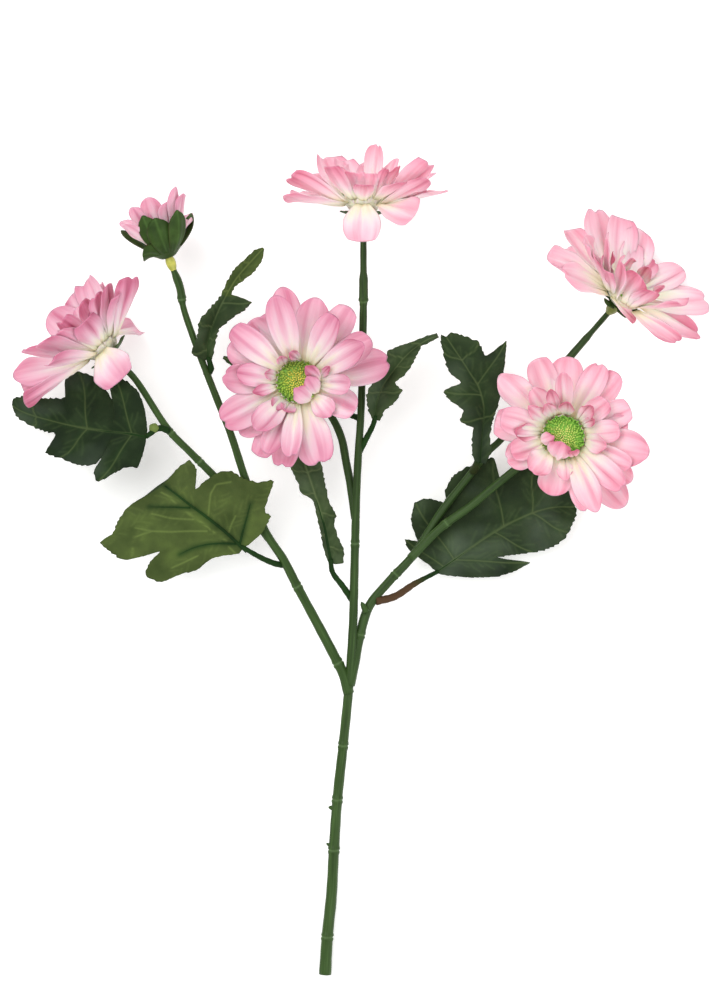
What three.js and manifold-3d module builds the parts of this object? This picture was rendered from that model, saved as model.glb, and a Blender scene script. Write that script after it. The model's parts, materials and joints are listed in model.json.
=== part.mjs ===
// A cut spray of pink garden chrysanthemum: one branching stem, five open blooms, a half-open bud
// and eight lobed leaves, lying on a flat surface.
// Millimetres, +Z up. The origin is on the surface, under the middle of the spray; +Y runs from the
// cut end of the stem towards the top bloom. Each bloom is drawn about its own axis first, with its
// petals opening along +Z from the foot of its calyx, and is then turned and carried to its stalk.

import * as THREE from 'three';
import { mergeVertices } from 'three/addons/utils/BufferGeometryUtils.js';
import Module from 'manifold-3d';

const wasm = await Module();
wasm.setup();

// ---------------------------------------------------------------- driving dimensions

const CLEARANCE = 0.3; // air between two pieces that meet
const STEM_SIDES = 8;
const STATION_STEP = 24; // distance between the rings of points along a stem
const JOINT_SWELL = 1.14; // how much a joint ring on the stem stands out
const JOINT_HALF_LENGTH = 0.9;

const NECK_LENGTH = 5.4; // waxy sleeve between a stalk and its calyx
const NECK_RADIUS = 2.6;
const STALK_STOP = NECK_LENGTH + CLEARANCE; // a stalk ends this far under the calyx
const NECK_STRAIGHT = 8; // straight length of stalk below the neck

const CORE_FOOT = { radius: 4.4, height: 1.6 };
const CORE_RIM = { radius: 9.6, height: 5 };
const CORE_TOP = 8.2;
const DISC_RADIUS = 8.5;
const DISC_RISE = 3.2;
const FLORET_RELIEF = 0.55;
const DISC_CLEAR = 0.45; // petals are kept this far off the disc
const DISC_SHOULDER = 2; // height of the upright side of the room kept for the disc

const PETAL_HALF_THICKNESS = 0.48; // at the middle line, thinning to the edges
const PETAL_WIDEST = 0.64; // share of the length at which a petal is widest
const PETAL_CLAW = 0.36; // width of the root, as a share of the widest
const PETAL_TIP = 0.5; // width of the blunt tip
const PETAL_FULLNESS = 2.4; // 2 closes the outer end as an ellipse, more makes it fuller
const PETAL_ROWS = [0, 0.36, 0.78, 1];
const SHORT_ROWS = [0, 0.44, 0.8, 1];
const INNER_ROWS = [0, 0.6, 1];
const BRACT_ROWS = [0, 0.5, 1];

const LEAF_HALF_THICKNESS = 0.35;
const STALK_SIDES = 6;

const COLOURS = {
  stem: '#3c6b3a',
  petal: '#f3b6d0',
  disc: '#8fbf3a',
  calyx: '#33572f',
  neck: '#a9ab4a',
  leaf: '#2b4a33',
};

// ---------------------------------------------------------------- small helpers

const rad = THREE.MathUtils.degToRad;
const lerp = THREE.MathUtils.lerp;
const vec = (p) => new THREE.Vector3(...p);

// A repeatable draw between 0 and 1, and one between -range and +range.
function draw(seed) {
  const value = Math.sin(seed * 12.9898) * 43758.5453;
  return value - Math.floor(value);
}

function jitter(seed, range) {
  return (2 * draw(seed) - 1) * range;
}

function geometryOf(points, faces) {
  const geometry = new THREE.BufferGeometry();
  geometry.setAttribute('position', new THREE.Float32BufferAttribute(points.flat(), 3));
  geometry.setIndex(faces.flat());
  return geometry;
}

// A closed geometry as a solid that can be joined and cut.
function solidOf(geometry) {
  const bare = geometry.clone();
  bare.deleteAttribute('normal');
  bare.deleteAttribute('uv');
  const merged = mergeVertices(bare, 1e-4);
  return new wasm.Manifold(new wasm.Mesh({
    numProp: 3,
    vertProperties: new Float32Array(merged.attributes.position.array),
    triVerts: new Uint32Array(merged.index.array),
  }));
}

function join(solids) {
  return solids.reduce((whole, solid) => whole.add(solid));
}

// The biggest body of a solid: what a cut leaves loose is dropped.
function mainBody(solid) {
  const bodies = solid.decompose().sort((a, b) => b.volume() - a.volume());
  return bodies[0];
}

function meshOf(name, solid, colour, roughness = 0.6) {
  const { vertProperties, triVerts } = mainBody(solid).getMesh();
  const geometry = new THREE.BufferGeometry();
  geometry.setAttribute('position', new THREE.BufferAttribute(new Float32Array(vertProperties), 3));
  geometry.setIndex(new THREE.BufferAttribute(new Uint32Array(triVerts), 1));
  const material = new THREE.MeshStandardMaterial({ color: colour, roughness, metalness: 0 });
  const mesh = new THREE.Mesh(geometry, material);
  mesh.name = name;
  return mesh;
}

// ---------------------------------------------------------------- swept stems and stalks

// Distances along a curve at which a swept stem gets a ring of points; `joints` are the places
// along +Y where a joint ring stands out.
function stationsOf(curve, joints) {
  const length = curve.getLength();
  const count = Math.max(2, Math.round(length / STATION_STEP));
  const marks = [];
  for (let i = 0; i <= count; i += 1) marks.push({ at: (i / count) * length, swell: 1 });
  for (const y of joints) {
    const at = distanceAtY(curve, y, length);
    marks.push({ at: at - JOINT_HALF_LENGTH, swell: 1 });
    marks.push({ at, swell: JOINT_SWELL });
    marks.push({ at: at + JOINT_HALF_LENGTH, swell: 1 });
  }
  marks.sort((a, b) => a.at - b.at);
  return marks
    .filter((mark, i) => i === 0 || mark.at - marks[i - 1].at > 0.4)
    .map((mark) => ({ u: THREE.MathUtils.clamp(mark.at / length, 0, 1), swell: mark.swell }));
}

function distanceAtY(curve, y, length) {
  let low = 0;
  let high = 1;
  for (let i = 0; i < 30; i += 1) {
    const middle = (low + high) / 2;
    if (curve.getPointAt(middle).y < y) low = middle;
    else high = middle;
  }
  return low * length;
}

// A closed tube along a curve. `radiusAt` gives the radius at a share u of its length.
function sweptTube(curve, marks, radiusAt, sides) {
  const points = [];
  const faces = [];
  const up = new THREE.Vector3(0, 0, 1);
  let side = new THREE.Vector3(1, 0, 0);
  for (const mark of marks) {
    const centre = curve.getPointAt(mark.u);
    const along = curve.getTangentAt(mark.u);
    const level = new THREE.Vector3().crossVectors(along, up);
    if (level.length() > 0.3) side = level.normalize();
    const across = side.clone().addScaledVector(along, -side.dot(along)).normalize();
    const over = new THREE.Vector3().crossVectors(across, along);
    const radius = radiusAt(mark.u) * mark.swell;
    for (let k = 0; k < sides; k += 1) {
      const angle = (2 * Math.PI * k) / sides;
      const point = centre.clone()
        .addScaledVector(across, radius * Math.cos(angle))
        .addScaledVector(over, radius * Math.sin(angle));
      points.push(point.toArray());
    }
  }
  for (let i = 0; i + 1 < marks.length; i += 1) {
    for (let k = 0; k < sides; k += 1) {
      const a = i * sides + k;
      const b = i * sides + ((k + 1) % sides);
      faces.push([a, b, a + sides], [b, b + sides, a + sides]);
    }
  }
  const last = (marks.length - 1) * sides;
  for (let k = 1; k + 1 < sides; k += 1) {
    faces.push([0, k + 1, k], [last, last + k, last + k + 1]);
  }
  return solidOf(facingOut(geometryOf(points, faces)));
}

// Turns every triangle over when the body would otherwise be inside out.
function facingOut(geometry) {
  const position = geometry.attributes.position;
  const index = geometry.index.array;
  let volume = 0;
  for (let i = 0; i < index.length; i += 3) {
    const [a, b, c] = [0, 1, 2].map((k) => new THREE.Vector3().fromBufferAttribute(position, index[i + k]));
    volume += a.dot(b.cross(c));
  }
  if (volume < 0) {
    for (let i = 0; i < index.length; i += 3) {
      [index[i + 1], index[i + 2]] = [index[i + 2], index[i + 1]];
    }
  }
  return geometry;
}

// ---------------------------------------------------------------- blades: petals, bracts, leaves

// A closed thin blade from a grid of points. `place(i, j)` gives a point of the blade's middle
// surface, the normal there and half the thickness. Both faces are split into triangles alike, by
// the shorter diagonal. Where `sharpEdges` is set the two faces share their edge points.
function blade(rows, columns, place, sharpEdges) {
  const points = [];
  const topOf = [];
  const underOf = [];
  for (let i = 0; i <= rows; i += 1) {
    topOf.push([]);
    underOf.push([]);
    for (let j = 0; j <= columns; j += 1) {
      const { point, normal, half } = place(i, j);
      const shared = sharpEdges && (j === 0 || j === columns);
      const lift = shared ? 0 : half;
      topOf[i].push(points.length);
      points.push(point.clone().addScaledVector(normal, lift).toArray());
      underOf[i].push(shared ? topOf[i][j] : points.length);
      if (!shared) points.push(point.clone().addScaledVector(normal, -lift).toArray());
    }
  }
  const faces = [];
  const quad = (a, b, c, d) => {
    for (const face of [[a, b, c], [a, c, d]]) {
      if (new Set(face).size === 3) faces.push(face);
    }
  };
  const far = (a, b) => vec(points[a]).distanceTo(vec(points[b]));
  for (let i = 0; i < rows; i += 1) {
    for (let j = 0; j < columns; j += 1) {
      const [a, b, c, d] = [topOf[i][j], topOf[i][j + 1], topOf[i + 1][j + 1], topOf[i + 1][j]];
      const [e, f, g, h] = [underOf[i][j], underOf[i][j + 1], underOf[i + 1][j + 1], underOf[i + 1][j]];
      if (far(a, c) < far(b, d)) faces.push([a, b, c], [a, c, d], [e, g, f], [e, h, g]);
      else faces.push([a, b, d], [b, c, d], [e, h, f], [f, h, g]);
    }
  }
  for (let i = 0; i < rows && !sharpEdges; i += 1) {
    quad(underOf[i][0], topOf[i][0], topOf[i + 1][0], underOf[i + 1][0]);
    quad(topOf[i][columns], underOf[i][columns], underOf[i + 1][columns], topOf[i + 1][columns]);
  }
  for (let j = 0; j < columns; j += 1) {
    quad(topOf[0][j + 1], topOf[0][j], underOf[0][j], underOf[0][j + 1]);
    quad(topOf[rows][j], topOf[rows][j + 1], underOf[rows][j + 1], underOf[rows][j]);
  }
  return solidOf(facingOut(geometryOf(points, faces)));
}

// Half the width of a petal at a share t of its length, as a share of its widest half.
function petalOutline(t) {
  if (t < PETAL_WIDEST) {
    return PETAL_CLAW + (1 - PETAL_CLAW) * Math.sin((Math.PI / 2) * (t / PETAL_WIDEST)) ** 1.3;
  }
  const past = (t - PETAL_WIDEST) / (1 - PETAL_WIDEST);
  const narrowed = past ** PETAL_FULLNESS * (1 - PETAL_TIP ** PETAL_FULLNESS);
  return (1 - narrowed) ** (1 / PETAL_FULLNESS);
}

// A point of a petal's middle surface, t along it and u (-1 to 1) across. The middle line leaves the
// core `rise` degrees above the bloom's plane and bends by `bend` degrees on the way to the tip; the
// edges stand up by `cup`, and the blade turns by `twist` degrees about its middle line. `turn` is
// where the root stands round the core, and `swing` how far the petal points aside from there.
function petalPlace(petal, t, u, grow = 0) {
  const start = rad(petal.rise);
  const bend = rad(Math.abs(petal.bend) < 0.5 ? 0.5 : petal.bend);
  const slope = start + bend * t;
  const length = petal.length + grow;
  const run = (length * (Math.sin(slope) - Math.sin(start))) / bend;
  const climb = (length * (Math.cos(start) - Math.cos(slope))) / bend;
  const outward = heading(petal.turn + (petal.swing ?? 0));
  const sideways = new THREE.Vector3(-outward.y, outward.x, 0);
  const normal = outward.clone().multiplyScalar(-Math.sin(slope));
  normal.z = Math.cos(slope);
  const roll = rad(petal.twist) * t;
  const across = sideways.clone().multiplyScalar(Math.cos(roll)).addScaledVector(normal, Math.sin(roll));
  const over = normal.clone().multiplyScalar(Math.cos(roll)).addScaledVector(sideways, -Math.sin(roll));
  const half = (petal.width / 2) * petalOutline(t) + grow;
  const point = heading(petal.turn).multiplyScalar(petal.root.radius)
    .addScaledVector(outward, run)
    .addScaledVector(across, u * half)
    .addScaledVector(over, petal.cup * half * u * u);
  point.z += petal.root.height + climb;
  return { point, normal: over, half: PETAL_HALF_THICKNESS + grow };
}

// The level direction at a turn in degrees.
function heading(turn) {
  return new THREE.Vector3(Math.cos(rad(turn)), Math.sin(rad(turn)), 0);
}

function petalSolid(petal, grow = 0) {
  const { rows } = petal;
  const place = (i, j) => petalPlace(petal, rows[i], j - 1, grow);
  return blade(rows.length - 1, 2, place, grow === 0);
}

// ---------------------------------------------------------------- the parts of a bloom

// Three layers of petals, from the outside in. Angles are degrees. `over` is what is added to every
// second petal, and `spread` how far a repeatable draw may move a petal from its layer's numbers.
const LAYERS = [
  {
    name: 'outer', rows: PETAL_ROWS,
    root: { radius: 8.3, height: 4.6 }, length: 27.5, width: 14, rise: 5, bend: 6, cup: 0.16,
    over: { height: 0.7, rise: 7 },
    spread: { turn: 4, length: 1.5, rise: 3, bend: 8, twist: 12, width: 1.2 },
  },
  {
    name: 'middle', rows: SHORT_ROWS,
    root: { radius: 8.5, height: 6.5 }, length: 25, width: 12, rise: 29, bend: -4, cup: 0.24,
    over: { height: 0.4, rise: 13 },
    spread: { turn: 5, length: 2, rise: 4, bend: 10, twist: 14, width: 1.2 },
  },
  {
    name: 'inner', rows: INNER_ROWS,
    root: { radius: 9, height: 7.4 }, length: 14, width: 8, rise: 62, bend: 4, cup: 0.3,
    over: { height: 0, rise: 12 },
    spread: { turn: 8, length: 2, rise: 4, bend: 16, twist: 16, width: 1.2 },
  },
];

// One layer of a bloom by rule: either `count` petals from the turn `first` on, or lists of turns,
// reaches and widths, petal by petal. Every second petal lies over its neighbours.
function layerPetals(layer, seed) {
  const { over, spread } = layer;
  const count = layer.turns ? layer.turns.length : layer.count;
  const petals = [];
  for (let i = 0; i < count; i += 1) {
    const s = seed + 7 * i;
    const lifted = i % 2;
    const turn = layer.turns ? layer.turns[i] : layer.first + (360 * i) / count + jitter(s, spread.turn);
    const rise = layer.rise + lifted * over.rise + jitter(s + 1, spread.rise);
    const reach = layer.reaches ? (layer.reaches[i] - layer.root.radius) / Math.cos(rad(rise)) : 0;
    petals.push({
      root: { radius: layer.root.radius, height: layer.root.height + lifted * over.height },
      turn,
      length: reach || layer.length + jitter(s + 2, spread.length),
      width: layer.widths ? layer.widths[i] : layer.width + jitter(s + 3, spread.width),
      rise,
      bend: layer.bend + jitter(s + 4, spread.bend),
      twist: jitter(s + 5, spread.twist),
      cup: layer.cup,
      rows: layer.rows,
    });
  }
  return petals;
}

// One layer of petals that are set one by one.
function placedPetals(layer, list) {
  return list.map(([turn, swing, rise, length, width, bend, twist], i) => ({
    root: { radius: layer.root.radius, height: layer.root.height + (i % 2) * layer.over.height },
    turn,
    swing,
    rise,
    length,
    width,
    bend,
    twist,
    cup: layer.cup,
    rows: layer.rows,
  }));
}

// A bloom lists its petals one by one, or else changes the common layers where it needs to.
function bloomPetals(bloom) {
  if (bloom.petals) return LAYERS.flatMap((layer) => placedPetals(layer, bloom.petals[layer.name]));
  return LAYERS.flatMap((layer, k) => layerPetals({ ...layer, ...bloom.layers[k] }, bloom.seed + 200 * k));
}

function lathe(profile, sides) {
  const points = profile.map(([x, y]) => new THREE.Vector2(x, y));
  const geometry = new THREE.LatheGeometry(points, sides);
  geometry.rotateX(Math.PI / 2);
  return solidOf(facingOut(withoutSlivers(geometry)));
}

// A lathe leaves triangles without area on its axis: they are dropped.
function withoutSlivers(geometry) {
  const bare = geometry.clone();
  bare.deleteAttribute('normal');
  bare.deleteAttribute('uv');
  const merged = mergeVertices(bare, 1e-4);
  const index = merged.index.array;
  const kept = [];
  for (let i = 0; i < index.length; i += 3) {
    const face = [index[i], index[i + 1], index[i + 2]];
    if (new Set(face).size === 3) kept.push(...face);
  }
  merged.setIndex(kept);
  return merged;
}

// The fleshy core that the petals grow from.
function coreSolid() {
  return lathe([
    [0, CORE_FOOT.height],
    [CORE_FOOT.radius, CORE_FOOT.height],
    [CORE_RIM.radius, CORE_RIM.height],
    [CORE_RIM.radius, CORE_TOP],
    [0, CORE_TOP],
  ], 12);
}

// A plain dome a little bigger than the disc, which keeps the petals off it.
function discRoom() {
  const foot = CORE_TOP + 0.001;
  const radius = DISC_RADIUS + DISC_CLEAR;
  const top = foot + DISC_RISE + FLORET_RELIEF + 2 * DISC_CLEAR;
  return lathe([
    [0, foot],
    [radius, foot],
    [radius, foot + DISC_SHOULDER],
    [radius * 0.8, top - 0.8],
    [0, top],
  ], 18);
}

// The disc: a low dome covered with florets, raised and sunk turn about in rings.
function discSolid() {
  const foot = CORE_TOP + CLEARANCE;
  const sides = 18;
  const rings = [1, 0.9, 0.66, 0.36];
  const points = [[0, 0, foot]];
  const faces = [];
  for (let k = 0; k < sides; k += 1) {
    const angle = (2 * Math.PI * k) / sides;
    points.push([DISC_RADIUS * 0.96 * Math.cos(angle), DISC_RADIUS * 0.96 * Math.sin(angle), foot]);
  }
  rings.forEach((share, ring) => {
    for (let k = 0; k < sides; k += 1) {
      const angle = (2 * Math.PI * (k + (ring % 2) / 2)) / sides;
      const floret = k % 2 === 0 ? FLORET_RELIEF : 0;
      const rise = DISC_RISE * Math.sqrt(1 - (share * 0.98) ** 2) + 0.4;
      const radius = DISC_RADIUS * share;
      const height = foot + rise + floret * (1 - 0.3 * share);
      points.push([radius * Math.cos(angle), radius * Math.sin(angle), height]);
    }
  });
  points.push([0, 0, foot + DISC_RISE]);
  for (let ring = 0; ring <= rings.length - 1; ring += 1) {
    for (let k = 0; k < sides; k += 1) {
      const a = 1 + ring * sides + k;
      const b = 1 + ring * sides + ((k + 1) % sides);
      faces.push([a, b, a + sides], [b, b + sides, a + sides]);
    }
  }
  const crown = 1 + rings.length * sides;
  for (let k = 0; k < sides; k += 1) {
    const next = (k + 1) % sides;
    faces.push([0, 1 + next, 1 + k], [crown + k, crown + next, points.length - 1]);
  }
  return solidOf(facingOut(geometryOf(points, faces)));
}

// The calyx: a small cup under the core, with pointed bracts that lie under the petals.
const BRACT = {
  root: { radius: 3.2, height: 0.3 }, length: 7.5, width: 6, rise: 10, bend: 10, twist: 0, cup: 0.1,
  rows: BRACT_ROWS,
};
const BRACT_COUNT = 6;
const LOW_RISE = -3; // petals that leave the core below this angle come near the bracts
const BRACT_CLEARANCE = 0.42; // wider than the rest, because such a petal curls as it falls

// `low` are the petals that the bracts are cut free of.
function calyxSolid(low) {
  const cup = lathe([
    [0, 0],
    [2.9, 0],
    [5, 1],
    [CORE_FOOT.radius, CORE_FOOT.height - CLEARANCE],
    [0, CORE_FOOT.height - CLEARANCE],
  ], 8);
  const bracts = [];
  for (let i = 0; i < BRACT_COUNT; i += 1) {
    bracts.push(petalSolid({ ...BRACT, turn: (360 * i) / BRACT_COUNT + 11 }));
  }
  const whole = join([cup, ...bracts]).subtract(coreRoom());
  return low.reduce((calyx, petal) => calyx.subtract(petalSolid(petal, BRACT_CLEARANCE)), whole);
}

// A little more than the core, which keeps the bracts off it.
function coreRoom() {
  return lathe([
    [0, CORE_FOOT.height - CLEARANCE],
    [CORE_FOOT.radius + CLEARANCE, CORE_FOOT.height - CLEARANCE],
    [CORE_RIM.radius + CLEARANCE, CORE_RIM.height - CLEARANCE],
    [CORE_RIM.radius + CLEARANCE, CORE_TOP],
    [0, CORE_TOP],
  ], 12);
}

// The waxy sleeve between stalk and calyx.
function neckSolid() {
  return lathe([
    [0, -NECK_LENGTH],
    [NECK_RADIUS * 0.66, -NECK_LENGTH],
    [NECK_RADIUS, -NECK_LENGTH * 0.5],
    [NECK_RADIUS * 0.9, -CLEARANCE],
    [0, -CLEARANCE],
  ], 8);
}

// ---------------------------------------------------------------- the five blooms

// `foot` is where the calyx stands, `axis` the way the bloom faces, `right` the direction that the
// turn of 0 degrees points to. A bloom whose height is null rests on its own lowest petal. Petals
// that are set one by one have their turn, swing, rise, length, width, bend and twist.
const BLOOMS = [
  {
    name: 'bloom_left', foot: [-104.6, 86.6, null], axis: [-0.7, 0.71, 0.12], right: [0.7, 0.7, 0],
    petals: {
      outer: [
        [-36, 0, 24, 31, 12, 8, -44], [56, 0, -19, 20, 13, 4, 60], [-102, -6, -46, 17, 19, -36, 0],
        [-127, 0, 25, 29, 13, 4, 0], [175, 0, 31, 33, 14, 6, -70], [-163, 0, 11, 34, 12, 4, 44],
        [170, 0, 19, 31, 13, 4, -70], [-153, 0, 46, 31, 12, 6, 0], [102, 0, 49, 31, 17, 10, 0],
        [60, 0, 45, 31, 14, 8, 0], [79, 0, 39, 33.4, 14, 8, 0],
      ],
      middle: [
        [-46, 0, 39, 26, 12, 4, 0], [53, 0, 36, 27, 10, 4, 0], [-131, 0, 45, 28, 12, 4, 0],
        [-85, 0, 38, 19, 14, 10, 0], [-66, 0, 62, 22, 9, 4, 0], [-102, 0, 58, 23, 9, 4, 0],
        [-114, 0, 50, 22, 10, 4, 0], [-55, 0, 47, 23, 11, 4, 0], [-129, 0, 46, 25, 9, 4, 0],
        [110, 0, 34, 25, 12, 4, 0], [-47, 0, 26, 24, 10, 4, 0],
      ],
      inner: [
        [80, 0, 57, 19, 9, 4, 0], [62, 0, 44, 18, 9, 4, 0], [-128, 0, 47, 17, 8, 4, 0],
        [-59, 0, 56, 16, 8, 4, 0], [111, 0, 48, 19, 9, 4, 0], [-106, 0, 48, 15, 9, 4, 0],
      ],
    },
  },
  {
    name: 'bloom_top', foot: [1.2, 144.8, null], axis: [0, 1, 0.06], right: [1, 0, 0],
    petals: {
      outer: [
        [115, 0, 32, 35.5, 17, 6, 0], [-149, 0, 21, 30, 13, 6, 34], [143, 0, 8, 30, 15, 4, 0],
        [-148, 0, 2, 31, 11, 6, 24], [-31, 0, 34, 30, 13, 4, -34], [30, 0, 23, 30, 13, 4, 0],
        [-35, 0, 21, 27, 10, 4, -30], [23, 0, 8, 31, 13, 4, 0], [-44, 0, -2, 22, 17, -20, 54],
        [-92, 0, -34, 19.5, 16, -44, 0],
      ],
      middle: [
        [71, 0, 68, 25.5, 8.5, 4, 0], [52, 0, 48, 22.5, 7, 4, 0], [128, 0, 21, 29, 14, 4, 0],
        [-125, 0, 36, 22, 10, 4, 0], [-90, 0, 29, 14, 9, 4, 0], [-49, 0, 20, 19, 11, 4, 0],
        [108, 0, 39, 26, 12, 4, 0], [97, 0, 36, 24, 12, 4, 0], [47, 0, 25, 24, 12, 4, 0],
        [65, 0, 36, 20, 10, 4, 0], [81, 0, 42, 20, 12, 4, 0], [139, 0, 11, 24, 12, 4, 0],
        [30, 0, 6, 22, 11, 4, 0],
      ],
      inner: [
        [-58, 0, 51, 16, 5, 4, 0], [-43, 0, 49, 18, 6, 4, 0], [-113, 0, 47, 16, 8, 4, 0],
        [-100, 0, 51, 14, 8, 4, 0], [-79, 0, 51, 13, 8, 4, 0], [124, 0, 46, 18, 8, 4, 0],
      ],
    },
  },
  {
    name: 'bloom_centre', foot: [-25.6, 74.9, 34], axis: [-0.06, 0.04, 1], right: [1, 0, 0], seed: 47,
    layers: [
      {
        turns: [100, 76, 55, 29, 13, -26, -100, -75, -118, -152, -137, 177, 127, 153, 115],
        reaches: [40.6, 36.4, 38.2, 35.5, 39.3, 27.5, 37, 36, 35.8, 36.2, 33.2, 32.5, 33, 33.2, 32],
        widths: [13, 15, 13, 13, 15.5, 13, 12, 16.5, 11, 15, 12, 13, 12, 13, 12],
      },
      {
        turns: [141, 103, 59, 26, -45, -5, -112, -95, 172, -128],
        reaches: [33.5, 33.4, 30.8, 32, 20, 22.5, 33, 31, 25, 27],
        widths: [12, 12.5, 11.5, 11.5, 10, 9, 10, 9, 10, 12],
      },
      { count: 6, first: 10 },
    ],
  },
  {
    name: 'bloom_upper_right', foot: [107.8, 108.6, null],
    axis: [0.54, 0.63, 0.55], right: [0.76, -0.65, 0],
    petals: {
      outer: [
        [147, 0, 16, 33, 19, 6, 0], [157, 0, -9, 31, 17, 6, 0], [156, 0, -23, 30, 17, 4, 0],
        [-152, 0, 4, 31, 17, -4, 0], [-137, 0, 12, 27, 17, -6, 0], [130, 0, 23, 29, 17, 8, 0],
        [111, 0, 21, 29, 17, 8, 0], [70, 0, 15, 29, 13, 8, 0], [41, 0, 15, 32, 18, 8, 0],
        [18, 0, 1, 30, 16, 4, 0], [-23, 0, 14, 25, 17, 4, 0], [-118, 118, -4, 15, 8, -10, 0],
      ],
      middle: [
        [-138, 0, 36, 24, 12, 4, 0], [-157, 0, 50, 26, 13, 4, 0], [-105, -44, 60, 22, 13, 4, 0],
        [-154, 0, 29, 28, 14, 4, 0], [89, 0, 17, 19, 9, 4, 0], [72, 0, -2, 25, 12, 4, 0],
        [58, 0, 1, 24, 13, 4, 0], [-20, 0, 50, 24, 12, 4, 0], [-53, 0, 69, 17, 11, 4, 0],
        [-88, -14, 79, 17, 13, 10, 0], [-128, 0, 39, 21, 14, 4, 0], [114, 0, 18, 20, 12, 4, 0],
      ],
      inner: [
        [81, 0, 94, 12, 7, 4, 0], [9, 0, 81, 13, 7, 4, 0], [-162, 0, 59, 15, 8, 4, 0],
        [152, 0, 90, 12, 7, 4, 0],
      ],
    },
  },
  {
    name: 'bloom_right', foot: [85.4, 53, 33], axis: [-0.08, -0.08, 1], right: [1, 0, 0], seed: 85,
    layers: [
      {
        turns: [109, 135, 87, 62, 49, 24, 13, -10, -32, -72, -48, -100, 168, -157],
        reaches: [35.3, 38.2, 33.6, 34.9, 35.5, 30.5, 28, 37.6, 34.6, 32.7, 39.1, 25.5, 29.6, 26.3],
        widths: [12.5, 13, 14.5, 11.5, 12, 12.5, 10, 16, 11, 9.5, 14, 14.5, 14, 13],
      },
      {
        turns: [122, 87, -21, -37, -163, -63, 40, 160, 8, -132],
        reaches: [24, 29.8, 30.8, 32, 22, 32.4, 24, 26, 24, 19.5],
        widths: [9, 8, 8.5, 11, 10.5, 11.5, 10, 12, 10, 12],
      },
      { count: 6, first: 20 },
    ],
  },
];

// Turns a bloom's own frame so that +Z becomes `axis` and +X comes as near to `right` as it can.
function bloomFrame(axis, right) {
  const z = vec(axis).normalize();
  const x = vec(right).addScaledVector(z, -z.dot(vec(right))).normalize();
  const y = new THREE.Vector3().crossVectors(z, x);
  return new THREE.Matrix4().makeBasis(x, y, z);
}

function placed(solid, frame, foot) {
  const matrix = frame.clone().setPosition(vec(foot));
  return solid.transform([...matrix.elements]);
}

// Builds the pieces of one bloom about its own axis, then finds the height of its foot.
function buildBloom(bloom) {
  const petals = bloomPetals(bloom);
  const low = petals.filter((petal) => petal.rise < LOW_RISE);
  const head = join([coreSolid(), ...petals.map((petal) => petalSolid(petal))]).subtract(discRoom());
  const frame = bloomFrame(bloom.axis, bloom.right);
  const foot = [...bloom.foot];
  if (foot[2] === null) foot[2] = -placed(head, frame, [0, 0, 0]).boundingBox().min[2];
  const pieces = {
    petals: placed(head, frame, foot),
    disc: placed(discSolid(), frame, foot),
    calyx: placed(calyxSolid(low), frame, foot),
    neck: placed(neckSolid(), frame, foot),
  };
  return { ...bloom, foot, frame, pieces };
}

// ---------------------------------------------------------------- the bud

const BUD = { name: 'bud', foot: [-80.4, 127.6, 32], axis: [-0.34, 0.94, 0.1], right: [0.94, 0.34, 0] };
const BUD_CORE = { radius: 5.2, foot: 1.3, top: 5.5 };
const BUD_PETAL = { root: { radius: 3.6, height: 3.8 }, over: { height: 0 }, cup: 0.26, rows: PETAL_ROWS };
const BUD_BRACT = { root: { radius: 3.6, height: 1.2 }, over: { height: 0 }, cup: 0.16, rows: BRACT_ROWS };
const BUD_PETALS = [
  [-35, 0, 58, 26.6, 8, 8, 0], [-28, 0, 50, 23.8, 10, 12, 0], [-91, 0, 78, 23.4, 10, 12, 0],
  [-128, 0, 61, 23.4, 9, 12, 0], [126, 0, 36, 26, 8.5, 8, 0], [-43, 0, 63, 20.4, 10, 12, 0],
  [82, 0, 36, 22, 9, 20, 0], [-103, 0, 71, 16.8, 7, 20, 0], [-138, 0, 45, 21.8, 8, 8, 0],
  [45, 0, 22, 20, 8, 16, 0],
];
const BUD_BRACTS = [
  [-107, 0, 37, 23, 9.5, 50, 0], [-89, 0, 28, 21, 11, 60, 0], [-56, 0, 25, 23, 9.5, 50, 0],
  [41, 0, 18, 21, 9, 40, 0], [135, 0, 37, 24, 8, 8, 0], [75, 0, 29, 18, 9, 40, 0],
  [-129, 0, 38, 13, 8, -40, 70],
];

function buildBud() {
  const petals = placedPetals(BUD_PETAL, BUD_PETALS);
  const bracts = placedPetals(BUD_BRACT, BUD_BRACTS);
  const core = lathe([
    [0, BUD_CORE.foot],
    [2.6, BUD_CORE.foot],
    [BUD_CORE.radius, 3.4],
    [BUD_CORE.radius, BUD_CORE.top],
    [0, BUD_CORE.top + 2],
  ], 8);
  const head = join([core, ...petals.map((petal) => petalSolid(petal))]);
  const cup = lathe([[0, 0], [2.6, 0], [6.4, 2.8], [6.2, 3.4], [0, 3.4]], 8);
  const room = lathe([
    [0, BUD_CORE.foot - CLEARANCE],
    [2.6 + CLEARANCE, BUD_CORE.foot - CLEARANCE],
    [BUD_CORE.radius + 0.4, 3.2],
    [BUD_CORE.radius + 0.4, BUD_CORE.top + 3],
    [0, BUD_CORE.top + 3],
  ], 8);
  const green = join([cup, ...bracts.map((bract) => petalSolid(bract))]).subtract(room);
  const calyx = petals.reduce((rest, petal) => rest.subtract(petalSolid(petal, CLEARANCE)), green);
  const frame = bloomFrame(BUD.axis, BUD.right);
  return {
    ...BUD,
    frame,
    pieces: {
      petals: placed(head, frame, BUD.foot),
      calyx: placed(calyx, frame, BUD.foot),
      neck: placed(neckSolid(), frame, BUD.foot),
    },
  };
}

// ---------------------------------------------------------------- the stem

const CUT_END_HEIGHT = 2.62; // the cut end lies on the surface
const FORK_HEIGHT = 14.5;

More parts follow.
